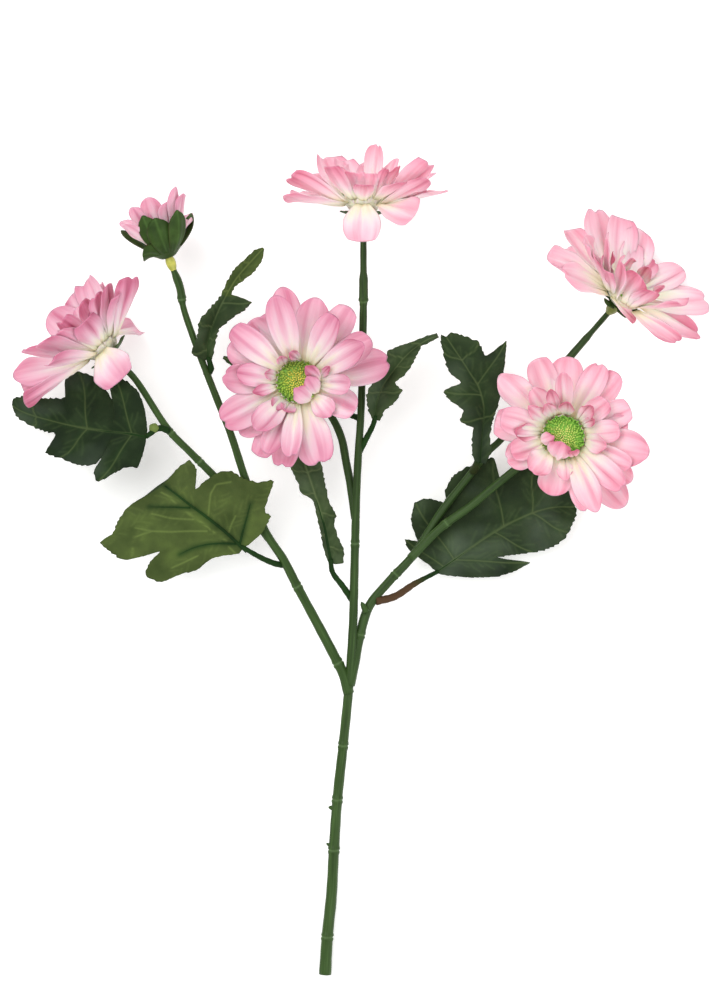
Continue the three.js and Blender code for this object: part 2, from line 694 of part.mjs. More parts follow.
// The points where a stalk runs straight into a bloom's neck.
function neckEnd(bloom) {
  const axis = new THREE.Vector3(0, 0, 1).transformDirection(bloom.frame);
  const end = vec(bloom.foot).addScaledVector(axis, -STALK_STOP);
  const before = vec(bloom.foot).addScaledVector(axis, -STALK_STOP - NECK_STRAIGHT);
  return [before, end];
}

// How far along each of a row of points lies, measured from the first as seen from above.
function runOf(points) {
  let run = 0;
  return points.map((p, i) => {
    if (i > 0) run += Math.hypot(p[0] - points[i - 1][0], p[1] - points[i - 1][1]);
    return run;
  });
}

// A branch as a curve: it follows its points as seen from above, rises evenly from `low` on, and
// runs straight into the neck at its end.
function branchCurve(branch) {
  const [before, end] = branch.tail;
  const runs = runOf([...branch.points, before.toArray()]);
  const total = runs[runs.length - 1];
  const rising = branch.points.map(([x, y], i) => {
    return new THREE.Vector3(x, y, lerp(branch.low, before.z, runs[i] / total));
  });
  return new THREE.CatmullRomCurve3([...rising, before, end]);
}

// Each branch: its points seen from above, the height where it leaves its parent and where it meets
// the neck, its radius at both ends, and the places along +Y of its joint rings.
function branches(heads) {
  const end = (name) => neckEnd(heads[name]);
  return [
    {
      points: [[-15.1, -175.6], [-14.1, -159], [-12.4, -142.2], [-11.3, -122], [-9.9, -101.4],
        [-7.3, -77.1], [-5, -54], [-4, -41.4], [-3.1, -24.6], [-2.7, -7.8], [-2.3, 7.8], [-1.9, 24.1],
        [-1.1, 42.6], [0.2, 63.6], [0.8, 88.8], [1.2, 109.8]],
      low: CUT_END_HEIGHT, tail: end('bloom_top'), radii: [2.6, 1.35],
      joints: [-159.5, -122.5, -101, -78, 7.5],
    },
    {
      points: [[-5, -56], [-7.3, -47.7], [-10, -42.2], [-17, -28.8], [-26.7, -10.7], [-32.5, 0.6],
        [-40.1, 12.4], [-48.5, 34.6], [-54.8, 54], [-60.3, 68], [-69.5, 92], [-74.5, 107]],
      low: FORK_HEIGHT, tail: end('bud'), radii: [2.3, 1.3], joints: [-43, -10.7, 100],
    },
    {
      points: [[-38.5, 9.5], [-48.5, 22.5], [-61.3, 35.5], [-72.2, 46.4], [-80.4, 54.8]],
      low: 20.6, tail: end('bloom_left'), radii: [1.9, 1.35], joints: [54],
    },
    {
      points: [[-2.1, 18], [-4.4, 33], [-6.1, 41.8], [-8.2, 52.3], [-13, 62]],
      low: 21, tail: end('bloom_centre'), radii: [1.9, 1.5], joints: [],
    },
    {
      points: [[-4.7, -52.5], [-2.7, -43.5], [-0.2, -30.9], [3.6, -19.1], [12, -8.6], [22.1, 2.3],
        [34.6, 21.6], [45.1, 35.1], [54, 46.4], [58.6, 50.6], [73.3, 67.8], [84, 81]],
      low: FORK_HEIGHT, tail: end('bloom_upper_right'), radii: [2.3, 1.15], joints: [-31, -5.5],
    },
    {
      points: [[21, 1.2], [33.8, 14.1], [46.4, 23.3], [58.6, 33.4], [67, 40.1], [76, 47]],
      low: 16.2, tail: end('bloom_right'), radii: [1.9, 1.5], joints: [16],
    },
  ];
}

// Short scars and buds on the stem, each a tapered peg from the stem's middle.
const SCARS = [
  { from: [-10.4, -105, 9.5], to: [-13.6, -104.2, 9.8], radius: 1.3 },
  { from: [-11.6, -121.5, 8], to: [-14.5, -119.6, 8.2], radius: 1 },
  { from: [2.4, -21.5, 17.2], to: [0.4, -17.2, 18], radius: 1.5 },
];

function branchSolid(branch, grow) {
  const [wide, slim] = branch.radii;
  const curve = branchCurve(branch);
  const marks = stationsOf(curve, branch.joints);
  return sweptTube(curve, marks, (u) => lerp(wide, slim, u ** 0.7) + grow, STEM_SIDES);
}

function scarSolid({ from, to, radius }, grow) {
  const curve = new THREE.LineCurve3(vec(from), vec(to));
  const marks = [0, 1].map((u) => ({ u, swell: 1 }));
  return sweptTube(curve, marks, (u) => lerp(radius, radius * 0.6, u) + grow, STALK_SIDES);
}

function stemSolid(heads, grow = 0) {
  const limbs = branches(heads).map((branch) => branchSolid(branch, grow));
  return join([...limbs, ...SCARS.map((scar) => scarSolid(scar, grow))]);
}

// ---------------------------------------------------------------- the leaves

// Each leaf is drawn where it lies, as seen from above. `rib` is its midrib. Each row of `outline`
// holds a share of the midrib, then the point of the edge that belongs to it on the left half and
// on the right half, each with how far it lies above the midrib. The rows fan out into the lobes
// and close up in the notches between them. `stalk` runs from the middle of the branch to the foot
// of the blade.
const LEAVES = [
  {
    name: 'leaf_left_upper',
    rib: [[-89.7, 52.3, 31.3], [-97.2, 53.6, 31.5], [-107.7, 54.8, 28.5], [-117, 56.1, 25],
      [-129.6, 59, 20.5], [-143, 63.2, 16], [-147.4, 65.9, 14.5]],
    stalk: [[-80.6, 55, 27], [-84.6, 56, 29], [-89.9, 52.4, 31.3]], stalkRadius: 1.3,
    knob: [-86.8, 56, 29.8],
    outline: [
      [0, -90.1, 50.6, 0, -89.5, 54.8, 0], [0.04, -91.8, 43.9, -0.5, -90.7, 64.5, 0.9],
      [0.06, -93.6, 39.7, -1, -93.4, 71.2, 1.5], [0.08, -98.9, 39.7, -1, -98.1, 75.4, 1.7],
      [0.1, -109.8, 33.8, -2, -103.1, 77.9, 1.7], [0.12, -111.7, 38.4, -2, -105.4, 74.1, 1.3],
      [0.25, -104.1, 49.4, -0.5, -101.6, 63.2, 0.6], [0.32, -111.5, 41, -1.5, -106.5, 71.2, -3],
      [0.37, -119.1, 40.7, -2, -110.7, 76.7, -5.5], [0.42, -126.2, 43.7, -2, -118.6, 79.6, -6],
      [0.48, -132.7, 46, -2, -124.7, 76.2, -4.5], [0.58, -128, 53.6, -0.5, -124.3, 68.7, -2],
      [0.69, -132.9, 55, -0.5, -133.8, 68.5, -1.5], [0.8, -138.5, 57.1, -0.5, -141.7, 69.3, -1],
      [0.92, -144.9, 61.1, 0, -146.4, 68.7, 0], [1, -147.3, 65.5, 0, -147.4, 67, 0],
    ],
  },
  {
    name: 'leaf_left_lower',
    rib: [[-49.3, 5.5, 27], [-59.8, 14.5, 30], [-69.1, 22.1, 31.5], [-77.5, 28.1, 30.5],
      [-85, 32.1, 28]],
    stalk: [[-32.6, -1.6, 18.2], [-36, -1, 21.5], [-42, 1.6, 25], [-50, 6.2, 27.2]], stalkRadius: 1.2,
    outline: [
      [0, -51, 3.2, -0.5, -47.2, 6.9, -0.5], [0.05, -57.7, 2.5, -1, -42.2, 11.1, -1],
      [0.09, -62.6, 1.1, -1.5, -39.9, 14.9, -1.5], [0.13, -68.7, -3.6, -2.5, -38, 19.2, -2],
      [0.17, -74.7, -5, -3, -40.7, 21.2, -2], [0.21, -83.8, -8.6, -4, -37, 32.1, -3],
      [0.25, -90.3, -5.9, -4, -37.2, 34, -3], [0.29, -88.4, -0.2, -3, -43.9, 33, -2.5],
      [0.35, -84, 4.2, -2, -49.3, 34.7, -2], [0.41, -90.9, 2.3, -3, -54.4, 37.8, -2.5],
      [0.47, -98.9, 0.6, -4, -59.8, 37.2, -2], [0.53, -103.7, 3.2, -4.5, -65.7, 33.4, -1.5],
      [0.61, -109.4, 7.9, -5, -69.5, 29.7, -1], [0.69, -103.7, 12, -3.5, -68.9, 38.4, -2],
      [0.78, -101.8, 17, -2.5, -71.9, 42.2, -2], [0.88, -98.1, 22.5, -2, -77.1, 38.6, -1.5],
      [1, -92.6, 26.5, -1, -80.4, 35.1, -1],
    ],
  },
  {
    name: 'leaf_bud',
    rib: [[-64, 84.6, 29], [-63.8, 93, 30.5], [-59.8, 104.8, 32], [-56.3, 111.5, 33],
      [-51.9, 118.7, 34], [-40.7, 131.5, 33]],
    stalk: [[-65.2, 78.4, 25.8], [-62.8, 80.4, 27.4], [-63.2, 83, 28.4], [-64, 86, 29.2]], stalkRadius: 1.3,
    outline: [
      [0, -65.5, 84.6, 0, -62.4, 84.6, 0], [0.08, -70.8, 87.4, 2, -61.5, 89.3, 2],
      [0.17, -68.2, 93.5, 3, -60.5, 93.9, 2], [0.26, -67.4, 100.6, 3, -59.2, 97.7, 2],
      [0.34, -64.9, 104, 2, -53.5, 102.3, 4], [0.41, -62.4, 106.7, 1, -49.3, 104.8, 5],
      [0.46, -59.8, 109.6, 0, -46, 108.6, 5], [0.51, -58.4, 111.5, 0, -51, 110.9, 3],
      [0.57, -57.3, 114, -1, -54.4, 111.9, 1], [0.63, -55.3, 118.2, -2, -52.9, 115.5, 1],
      [0.71, -52.9, 122.2, -2, -49.3, 117.8, 2], [0.83, -48.1, 127.1, -2, -45.1, 121.2, 2],
      [0.93, -44.1, 130.6, -1, -41.6, 126, 1], [1, -41.2, 131.8, 0, -40.3, 131, 0],
    ],
  },
  {
    name: 'leaf_centre',
    rib: [[-12.4, -0.6, 22], [-13.6, 6.5, 24], [-15.5, 16.2, 25], [-19.3, 28.8, 25.5],
      [-25.8, 47.7, 25.5]],
    stalk: [[-3.6, -16.2, 17.4], [-7.6, -10.4, 19], [-11.8, -4.6, 20.8], [-12.6, 1, 22.4]],
    stalkRadius: 1.25,
    outline: [
      [0, -13.6, -0.6, -1, -10.7, -1.3, -1], [0.06, -14.5, 2.7, -3, -7.6, -0.6, -4],
      [0.14, -15.5, 6.5, -3, -7.3, 5.3, -5], [0.24, -16.6, 12, -3, -9.9, 10.3, -4],
      [0.34, -17.6, 17.4, -3, -11.1, 15.8, -4], [0.43, -18.5, 21.2, -3, -10.4, 19.7, -5],
      [0.52, -20.2, 25.8, -3, -13.4, 24.6, -4], [0.6, -25, 28.8, -5, -14.5, 29.2, -4],
      [0.69, -25.8, 32.1, -4, -15.3, 33.8, -4], [0.78, -29.6, 39.7, -5, -16.4, 40.5, -4],
      [0.9, -27.9, 43.5, -3, -18.7, 44.7, -3], [1, -26.7, 48.5, -0.5, -25, 48.1, -0.5],
    ],
  },
  {
    name: 'leaf_behind_centre',
    rib: [[-9.4, 64.1, 20], [-24.6, 71.2, 20.5], [-39.7, 77.5, 22.5], [-57.7, 85.9, 27]],
    stalk: [[0, 60, 24.6], [-4.6, 61.8, 22], [-10, 64.3, 20]], stalkRadius: 1.2,
    outline: [
      [0, -10.3, 62.8, 0, -9.4, 65.7, 0], [0.14, -20.4, 61.1, 1, -17, 74.6, 1],
      [0.3, -28.3, 63.6, 1.5, -24.1, 79.2, 1.5], [0.46, -37.2, 67, 1.5, -33.4, 81.3, 1.5],
      [0.62, -43.9, 72.5, 1, -41.8, 83, 1], [0.82, -50.6, 79.6, 0.5, -49.3, 84.6, 0.5],
      [1, -58, 85.3, 0, -57.5, 86.5, 0],
    ],
  },
  {
    name: 'leaf_middle',
    rib: [[6.3, 59.4, 29], [6.9, 67, 30], [9.5, 73.7, 30.5], [14.1, 80.4, 30.5], [20, 87.2, 30],
      [27.5, 92.8, 29], [32.6, 94.9, 27.5]],
    stalk: [[-0.8, 45.6, 23.4], [2.6, 52, 26], [5.4, 57.6, 28.2], [6.4, 61.4, 29.2]], stalkRadius: 1.25,
    outline: [
      [0, 4.8, 59.9, 0, 8.2, 59, 0], [0.08, 3.6, 63.6, 2, 9.9, 63.2, 2],
      [0.17, 2.7, 68.3, 3, 14.1, 66.8, 4], [0.25, 3.4, 71.4, 3, 17.2, 71.6, 5],
      [0.33, 5.7, 75.8, 2, 14.3, 74.8, 2], [0.42, 8.2, 79.2, 2, 18.3, 78.1, 4],
      [0.52, 10.3, 83.4, 3, 21.2, 82.1, 3], [0.62, 11.6, 88, 4, 23.3, 85.9, 2],
      [0.72, 16.2, 90.3, 2, 24.8, 88.6, 2], [0.82, 21.6, 92.2, 1, 25.4, 90.7, 1],
      [0.92, 27.1, 94.3, 0, 28.4, 91.8, 1], [1, 32.1, 96, 0, 33, 94.1, 0],
    ],
  },
  {
    name: 'leaf_right_upper',
    rib: [[50.2, 41.4, 28.5], [51, 52.3, 30], [51.9, 63.6, 31.5], [50.2, 71.6, 32.5],
      [45.6, 79.6, 33.2], [35.9, 94.3, 33]],
    stalk: [[47.6, 38, 16.6], [48.9, 41, 23], [50.2, 44.6, 28.9]], stalkRadius: 1.5,
    outline: [
      [0, 47.9, 42.2, 2, 52.7, 41, 2], [0.09, 46.8, 46, 3, 54.4, 46, 3],
      [0.19, 47, 52.7, 3, 54, 52.3, 3], [0.27, 47.7, 56.1, 2, 55.2, 57.8, 3],
      [0.33, 42, 58.8, 2, 56.5, 62.4, 3.5], [0.39, 43.3, 63.6, 2, 58, 67.8, 4],
      [0.45, 37.8, 67.6, 2, 58.8, 74.1, 5], [0.5, 35, 71.4, 1, 59.9, 79.6, 6],
      [0.54, 38.9, 73.5, 1, 60.7, 86.7, 7], [0.58, 42.6, 75, 0.5, 60.9, 91.9, 7.5],
      [0.63, 37.8, 78.8, 1, 57.1, 89.2, 6], [0.7, 36.1, 83, 1, 52.3, 86.1, 3],
      [0.79, 34.9, 87.6, 1, 49.4, 91.6, 2.5], [0.9, 33.8, 91.8, 0, 43.5, 94.3, 1],
      [1, 33.7, 95.3, 0, 38, 96.2, 0],
    ],
  },
  {
    name: 'leaf_right_lower',
    rib: [[32.1, -4.8, 9.5], [41, 1.3, 10], [51.9, 9, 10.6], [65.3, 17, 11], [79.6, 22.3, 11],
      [90.9, 22.9, 10]],
    stalk: [[6.6, -17, 15.8], [14.5, -15, 12.6], [23, -9.6, 10.2], [32.9, -4.4, 9.6]], stalkRadius: 1.15,
    outline: [
      [0, 30.9, -3.1, 0, 33.4, -5.5, 0], [0.02, 27.9, -0.2, 0.4, 36.8, -5.9, 0.4],
      [0.04, 20.8, 4.4, 1, 41.4, -6.5, 0.8], [0.06, 19.1, 9, 1.2, 46.6, -6.9, 1],
      [0.08, 24.2, 8.4, 1, 52.3, -6.9, 1.2], [0.1, 22.3, 13.7, 1.2, 58, -6.5, 1.5],
      [0.12, 21.6, 17.9, 1.4, 65.3, -4.2, 1.8], [0.14, 23.2, 24.6, 1.5, 71.6, -0.6, 2],
      [0.16, 29.2, 26.3, 1.2, 66.6, 0.2, 1.5], [0.3, 35.9, 24.6, 1, 57.1, 1.5, 0.8],
      [0.35, 36.1, 30, 1.2, 61.5, 2.3, 0.8], [0.4, 39.5, 36.1, 1.5, 67.6, 3, 0.8],
      [0.45, 46.8, 40.1, 1.5, 72.5, 3.8, 1], [0.52, 56.3, 43.5, 1.5, 77.3, 4.7, 1],
      [0.59, 58.8, 35.3, 0.8, 80.9, 6.1, 1], [0.65, 66.2, 37.8, 0.8, 84.2, 8, 1],
      [0.72, 74.1, 39.7, 0.8, 87.8, 12, 1], [0.81, 81.7, 35.9, 0.6, 90.1, 17, 0.6],
      [0.91, 87.6, 30, 0.3, 91.4, 20.8, 0.3], [1, 90.7, 24.6, 0, 91.6, 22.1, 0],
    ],
  },
];

// The way across a leaf's surface, as near to upright as its slope `side` lets it be.
function acrossFrom(side) {
  const up = new THREE.Vector3(0, 0, 1);
  const way = side.clone().normalize();
  return up.addScaledVector(way, -way.z).normalize();
}

function leafBlade(leaf) {
  const curve = new THREE.CatmullRomCurve3(leaf.rib.map(vec));
  const place = (i, j) => {
    const [share, leftX, leftY, leftLift, rightX, rightY, rightLift] = leaf.outline[i];
    const middle = curve.getPointAt(share);
    const left = new THREE.Vector3(leftX, leftY, middle.z + leftLift);
    const right = new THREE.Vector3(rightX, rightY, middle.z + rightLift);
    const point = [left, middle, right][j];
    const side = j === 1 ? right.sub(left) : point.clone().sub(middle);
    return { point, normal: acrossFrom(side), half: LEAF_HALF_THICKNESS };
  };
  return blade(leaf.outline.length - 1, 2, place, false);
}

function leafSolid(leaf, stemRoom) {
  const curve = new THREE.CatmullRomCurve3(leaf.stalk.map(vec));
  const marks = [0, 0.25, 0.5, 0.75, 1].map((u) => ({ u, swell: 1 }));
  const stalk = sweptTube(curve, marks, (u) => leaf.stalkRadius * lerp(1.15, 0.8, u), STALK_SIDES);
  const pieces = [leafBlade(leaf), stalk];
  if (leaf.knob) {
    const knob = new THREE.SphereGeometry(2.1, 6, 5).translate(...leaf.knob);
    pieces.push(solidOf(facingOut(withoutSlivers(knob))));
  }
  return join(pieces).subtract(stemRoom);
}

// ---------------------------------------------------------------- the spray

const spray = new THREE.Group();
spray.name = 'chrysanthemum_spray';

const heads = { bud: buildBud() };
for (const bloom of BLOOMS) heads[bloom.name] = buildBloom(bloom);

spray.add(meshOf('stem', stemSolid(heads), COLOURS.stem));
for (const [name, head] of Object.entries(heads)) {
  spray.add(meshOf(`${name}_petals`, head.pieces.petals, COLOURS.petal, 0.7));
  if (head.pieces.disc) spray.add(meshOf(`${name}_disc`, head.pieces.disc, COLOURS.disc, 0.8));
  spray.add(meshOf(`${name}_calyx`, head.pieces.calyx, COLOURS.calyx));
  spray.add(meshOf(`${name}_neck`, head.pieces.neck, COLOURS.neck));
}

const stemRoom = stemSolid(heads, CLEARANCE);
for (const leaf of LEAVES) spray.add(meshOf(leaf.name, leafSolid(leaf, stemRoom), COLOURS.leaf));

export default spray;
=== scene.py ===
"""Looks for a cut spray of pink garden chrysanthemum that lies on a pale floor.

Each CAD node is replaced by one finer piece of the same form: petals with ridges and channels,
granular discs, veined leaves with toothed edges and jointed stems. Lengths are millimetres until a
piece is made; +Z is up and the camera looks straight down, with +Y at the top of the picture.
"""

import json
import math
from collections import namedtuple

import bpy
import numpy as np
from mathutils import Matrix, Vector

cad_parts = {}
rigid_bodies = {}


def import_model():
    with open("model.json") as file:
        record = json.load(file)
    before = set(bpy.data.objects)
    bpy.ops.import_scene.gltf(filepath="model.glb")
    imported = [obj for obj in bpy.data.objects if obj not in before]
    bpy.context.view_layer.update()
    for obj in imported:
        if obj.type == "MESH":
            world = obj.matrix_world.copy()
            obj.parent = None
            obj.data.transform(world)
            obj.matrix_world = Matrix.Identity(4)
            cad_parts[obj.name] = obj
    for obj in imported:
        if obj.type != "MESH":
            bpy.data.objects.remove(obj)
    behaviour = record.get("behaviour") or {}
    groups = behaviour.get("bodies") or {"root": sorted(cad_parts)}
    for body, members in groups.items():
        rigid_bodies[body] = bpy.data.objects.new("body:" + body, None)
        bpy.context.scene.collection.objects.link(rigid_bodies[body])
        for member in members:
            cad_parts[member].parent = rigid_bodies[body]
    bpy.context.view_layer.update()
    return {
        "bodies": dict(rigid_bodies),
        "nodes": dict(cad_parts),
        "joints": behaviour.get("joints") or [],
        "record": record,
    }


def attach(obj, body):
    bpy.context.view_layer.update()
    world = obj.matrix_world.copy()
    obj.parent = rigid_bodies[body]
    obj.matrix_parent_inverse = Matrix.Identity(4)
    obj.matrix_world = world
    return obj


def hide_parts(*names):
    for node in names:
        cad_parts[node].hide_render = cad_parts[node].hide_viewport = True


MM = 0.001
BODY = "root"
UP = np.array([0, 0, 1.0])

# ---------------------------------------------------------------- driving dimensions

NECK_LENGTH = 5.4
NECK_RADIUS = 2.6
NECK_GAP = 0.3
STALK_STOP = NECK_LENGTH + NECK_GAP
NECK_STRAIGHT = 8
CORE_FOOT = (4.4, 1.6)
CORE_RIM = (7.6, 5)
CORE_TOP = 8.2
SHEATH_COUNT = 11
DISC_FOOT = CORE_TOP + NECK_GAP
DISC_RADIUS = 8.5
DISC_RISE = 3.2
DISC_SKIN = 0.3
DISC_FOOT_SHARE = 0.96
FLORET_COUNT = 320
FLORET_SIDES = 6
FLORET_LEAN = 0.75
GOLDEN_ANGLE = 2.39996
CORE_TINT = (0.09, 0, 0.5)
CORE_SIDES = 32
CALYX_SIDES = 28
NECK_RIPPLE = (0.025, 7)

PETAL_HALF_THICKNESS = 0.24
PETAL_EDGE_SHARE = 0.35
PETAL_WIDEST = 0.64
PETAL_CLAW = 0.36
PETAL_GRID = (26, 17)
PETAL_STEPS = 160
PETAL_ROUNDNESS = 2.4
CREASE_WIDTH = 0.19
HANGING_RISE = -20

LEAF_HALF_THICKNESS = 0.22
LEAF_EDGE_STEP = 0.75
LEAF_COLUMN_STEP = 0.85
STALK_SIDES = 14
RIB_SIDES = 8
RIB_SINK = 0.3
TOOTH_PITCH = 2.9
TOOTH_DEPTH = 0.75
TOOTH_BACK = 0.72
SIDE_VEIN_PITCH = 3.6
SIDE_VEIN_LEAN = 50
SIDE_VEINS_LEFT_OUT = 0.3
FINE_VEIN_STEPS = 10
MAIN_VEIN_STEPS = 24
MIDRIB_STEPS = 60
VEIN_REACH = 2.0
RIB_REACH = 8.0
QUILT_HEIGHT = 0.6
GROOVE_DEPTH = 0.2
WAVE_HEIGHT = 0.35

STEM_SIDES = 18
SCAR_SIDES = 12
SCAR_RINGS = 7
STEM_STEP = 1.6
STEM_FLUTES = 0.03
JOINT_SWELL = 0.15
JOINT_SEAM = 0.06
CUT_END_HEIGHT = 2.62
FORK_HEIGHT = 14.5


# ---------------------------------------------------------------- small helpers

def draw(seed):
    """A repeatable draw between 0 and 1."""
    value = math.sin(seed * 12.9898) * 43758.5453
    return value - math.floor(value)


def jitter(seed, spread):
    return (2 * draw(seed) - 1) * spread


def lerp(a, b, share):
    return a + (b - a) * share


def unit(v):
    v = np.asarray(v, float)
    return v / np.maximum(np.linalg.norm(v, axis=-1, keepdims=True), 1e-9)


def smooth(low, high, x):
    share = np.clip((x - low) / (high - low), 0, 1)
    return share * share * (3 - 2 * share)


def bell(x, width):
    return np.exp(-(x / width) ** 2)


def direction(angle):
    """The level direction at an angle from +X."""
    return np.array([math.cos(angle), math.sin(angle), 0])


def triple(*parts):
    """Three values for each point, from arrays and single numbers."""
    return np.stack(np.broadcast_arrays(*parts), axis=-1)


def running_length(points):
    """How far each point of a line is from its start."""
    return np.concatenate([[0], np.cumsum(np.linalg.norm(np.diff(points, axis=0), axis=1))])


def stretches(points):
    """Each stretch of a line: the point before it, its start, its end and the point after it."""
    p = np.array(points, float)
    padded = np.vstack([2 * p[0] - p[1], p, 2 * p[-1] - p[-2]])
    return [padded[i:i + 4] for i in range(len(p) - 1)]


def cubic(start, end, leave, arrive, s):
    """Points of the smooth line from start to end with the given slopes there."""
    square = -3 * start + 3 * end - 2 * leave - arrive
    cube = 2 * start - 2 * end + leave + arrive
    return start + leave * s + square * s ** 2 + cube * s ** 3


class Curve:
    """A smooth curve through points, measured by its length."""

    def __init__(self, points, steps=40):
        s = np.linspace(0, 1, steps, endpoint=False)[:, None]
        parts = []
        for a, b, c, d in stretches(points):
            knots = [max(float(way @ way) ** 0.25, 1e-4) for way in (b - a, c - b, d - c)]
            first, middle, last = knots
            leave = ((b - a) / first - (c - a) / (first + middle) + (c - b) / middle) * middle
            arrive = ((c - b) / middle - (d - b) / (middle + last) + (d - c) / last) * middle
            parts.append(cubic(b, c, leave, arrive, s))
        self.points = np.vstack([*parts, points[-1]])
        self.reach = running_length(self.points)
        self.length = self.reach[-1]

    def at(self, distance):
        """Points at distances from the start."""
        distance = np.clip(distance, 0, self.length)
        return triple(*[np.interp(distance, self.reach, self.points[:, k]) for k in range(3)])

    def tangent(self, distance):
        return unit(self.at(distance + 0.4) - self.at(distance - 0.4))

    def distance_at_y(self, y):
        return float(np.interp(y, np.maximum.accumulate(self.points[:, 1]), self.reach))


# ---------------------------------------------------------------- pieces

def linked(name, data):
    """A new object of the scene with a mesh, a light or a camera."""
    thing = bpy.data.objects.new(name, data)
    bpy.context.scene.collection.objects.link(thing)
    return thing


class Body:
    """The points, faces and surface attributes of one piece, gathered part by part.
    `place` holds where on its part a point lies and `mark` what is there and where painted shade
    falls, for the looks to read."""

    def __init__(self):
        self.points = []
        self.faces = []
        self.place = []
        self.mark = []
        self.count = 0

    def add(self, points, faces, place, mark):
        points = np.asarray(points, float).reshape(-1, 3)
        self.points.append(points)
        self.faces.extend([[int(i) + self.count for i in face] for face in faces])
        self.place.append(np.broadcast_to(place, points.shape))
        self.mark.append(np.broadcast_to(mark, points.shape))
        self.count += len(points)

    def moved(self, frame, foot):
        """The same body in a head's own frame, carried to its foot."""
        self.points = [p @ frame.T + foot for p in self.points]
        return self

    def build(self, name, node, slot, material):
        mesh = bpy.data.meshes.new(name)
        mesh.from_pydata((np.vstack(self.points) * MM).tolist(), [], self.faces)
        for label, values in (("place", self.place), ("mark", self.mark)):
            layer = mesh.attributes.new(label, "FLOAT_VECTOR", "POINT")
            layer.data.foreach_set("vector", np.vstack(values).astype(np.float32).ravel())
        mesh.polygons.foreach_set("use_smooth", [True] * len(mesh.polygons))
        mesh.materials.append(material)
        piece = linked(name, mesh)
        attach(piece, BODY)
        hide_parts(node)


def quads(ids):
    """Faces over a grid of point numbers, facing the side that rows x columns gives."""
    a, b, c, d = ids[:-1, :-1], ids[1:, :-1], ids[1:, 1:], ids[:-1, 1:]
    return np.stack([a, b, c, d], axis=-1).reshape(-1, 4)


def surface_normals(grid):
    face = np.cross(grid[1:, 1:] - grid[:-1, :-1], grid[:-1, 1:] - grid[1:, :-1])
    total = np.zeros_like(grid)
    total[:-1, :-1] += face
    total[1:, 1:] += face
    total[1:, :-1] += face
    total[:-1, 1:] += face
    return unit(total)


def add_sheet(body, grid, half, place, mark, under_mark):
    """Adds a thin closed sheet whose two faces meet along its whole edge."""
    inner = np.zeros(grid.shape[:2], bool)
    inner[1:-1, 1:-1] = True
    lift = surface_normals(grid) * np.where(inner, half, 0)[..., None]
    top_ids = np.arange(inner.size).reshape(inner.shape)
    under_ids = top_ids.copy()
    under_ids[inner] = inner.size + np.arange(inner.sum())
    points = np.vstack([(grid + lift).reshape(-1, 3), (grid - lift)[inner]])
    places = np.vstack([place.reshape(-1, 3), place[inner]])
    marks = np.vstack([mark.reshape(-1, 3), under_mark[inner]])
    body.add(points, np.vstack([quads(top_ids), quads(under_ids)[:, ::-1]]), places, marks)


def add_rings(body, points, sides, place, mark, turned=False):
    """Adds a closed skin over rings of points; the last two points close its ends."""
    first, last = len(points) - 2, len(points) - 1
    ids = np.arange(first).reshape(-1, sides)
    ids = np.hstack([ids, ids[:, :1]])
    faces, a, b = quads(ids), ids[:, :-1], ids[:, 1:]
    if turned:
        faces, a, b = faces[:, ::-1], b, a
    caps = [[first, k, n] for k, n in zip(a[0], b[0])] + [[last, n, k] for k, n in zip(a[-1], b[-1])]
    body.add(points, faces.tolist() + caps, place, mark)


def add_tube(body, curve, distances, radii, sides, mark, flutes=0.0):
    """Adds a closed tube along a curve, with a ring of points at each distance."""
    centres = curve.at(distances)
    angles = np.linspace(0, 2 * math.pi, sides, endpoint=False)
    side = np.array([1.0, 0, 0])
    rings = []
    for centre, along, radius in zip(centres, curve.tangent(distances), radii):
        level = np.cross(along, UP)
        if np.linalg.norm(level) > 0.3:
            side = unit(level)
        across = unit(side - along * (side @ along))
        over = np.cross(across, along)
        circle = np.cos(angles)[:, None] * across + np.sin(angles)[:, None] * over
        rings.append(centre + (radius * (1 + flutes * np.cos(5 * angles)))[:, None] * circle)
    ends = [0, -1]
    place = triple(distances[:, None], angles, 0).reshape(-1, 3)
    place = np.vstack([place, triple(distances[ends], 0, 0)])
    marks = np.vstack([np.repeat(mark, sides, axis=0), mark[ends]])
    add_rings(body, np.vstack([*rings, centres[ends]]), sides, place, marks)


def add_lathe(body, profile, sides, mark, ripple=0.0, ripples=0, place=None, centre=(0, 0, 0)):
    """Adds a closed turned shape about the local +Z axis. The profile runs from axis to axis."""
    profile = np.array(profile, float)
    radii, heights = profile[1:-1, :1], profile[1:-1, 1:]
    angles = np.linspace(0, 2 * math.pi, sides, endpoint=False)
    swell = 1 + ripple * np.cos(ripples * angles)
    rings = triple(radii * np.cos(angles) * swell, radii * np.sin(angles) * swell, heights)
    points = np.vstack([rings.reshape(-1, 3), triple(0, 0, profile[[0, -1], 1])])
    if place is None:
        place = triple(points[:, 2], np.hypot(points[:, 0], points[:, 1]), 0)
    add_rings(body, points + np.array(centre), sides, place, mark, turned=True)


def rounded(profile, steps=6):
    """A smoother profile through the same corners."""
    curve = Curve([(r, 0, z) for r, z in profile], steps)
    return [(max(x, 0), z) for x, _, z in curve.points]


# ---------------------------------------------------------------- petals

def petal_outline(t, tip):
    """Half the width at a share t of the length, as a share of the widest half."""
    swelling = np.sin(math.pi / 2 * np.minimum(t / PETAL_WIDEST, 1)) ** 1.3
    rising = PETAL_CLAW + (1 - PETAL_CLAW) * swelling
    past = np.clip((t - PETAL_WIDEST) / (1 - PETAL_WIDEST), 0, 1)
    power = PETAL_ROUNDNESS
    closing = (1 - past ** power * (1 - tip ** power)) ** (1 / power)
    return np.where(t < PETAL_WIDEST, rising, closing)


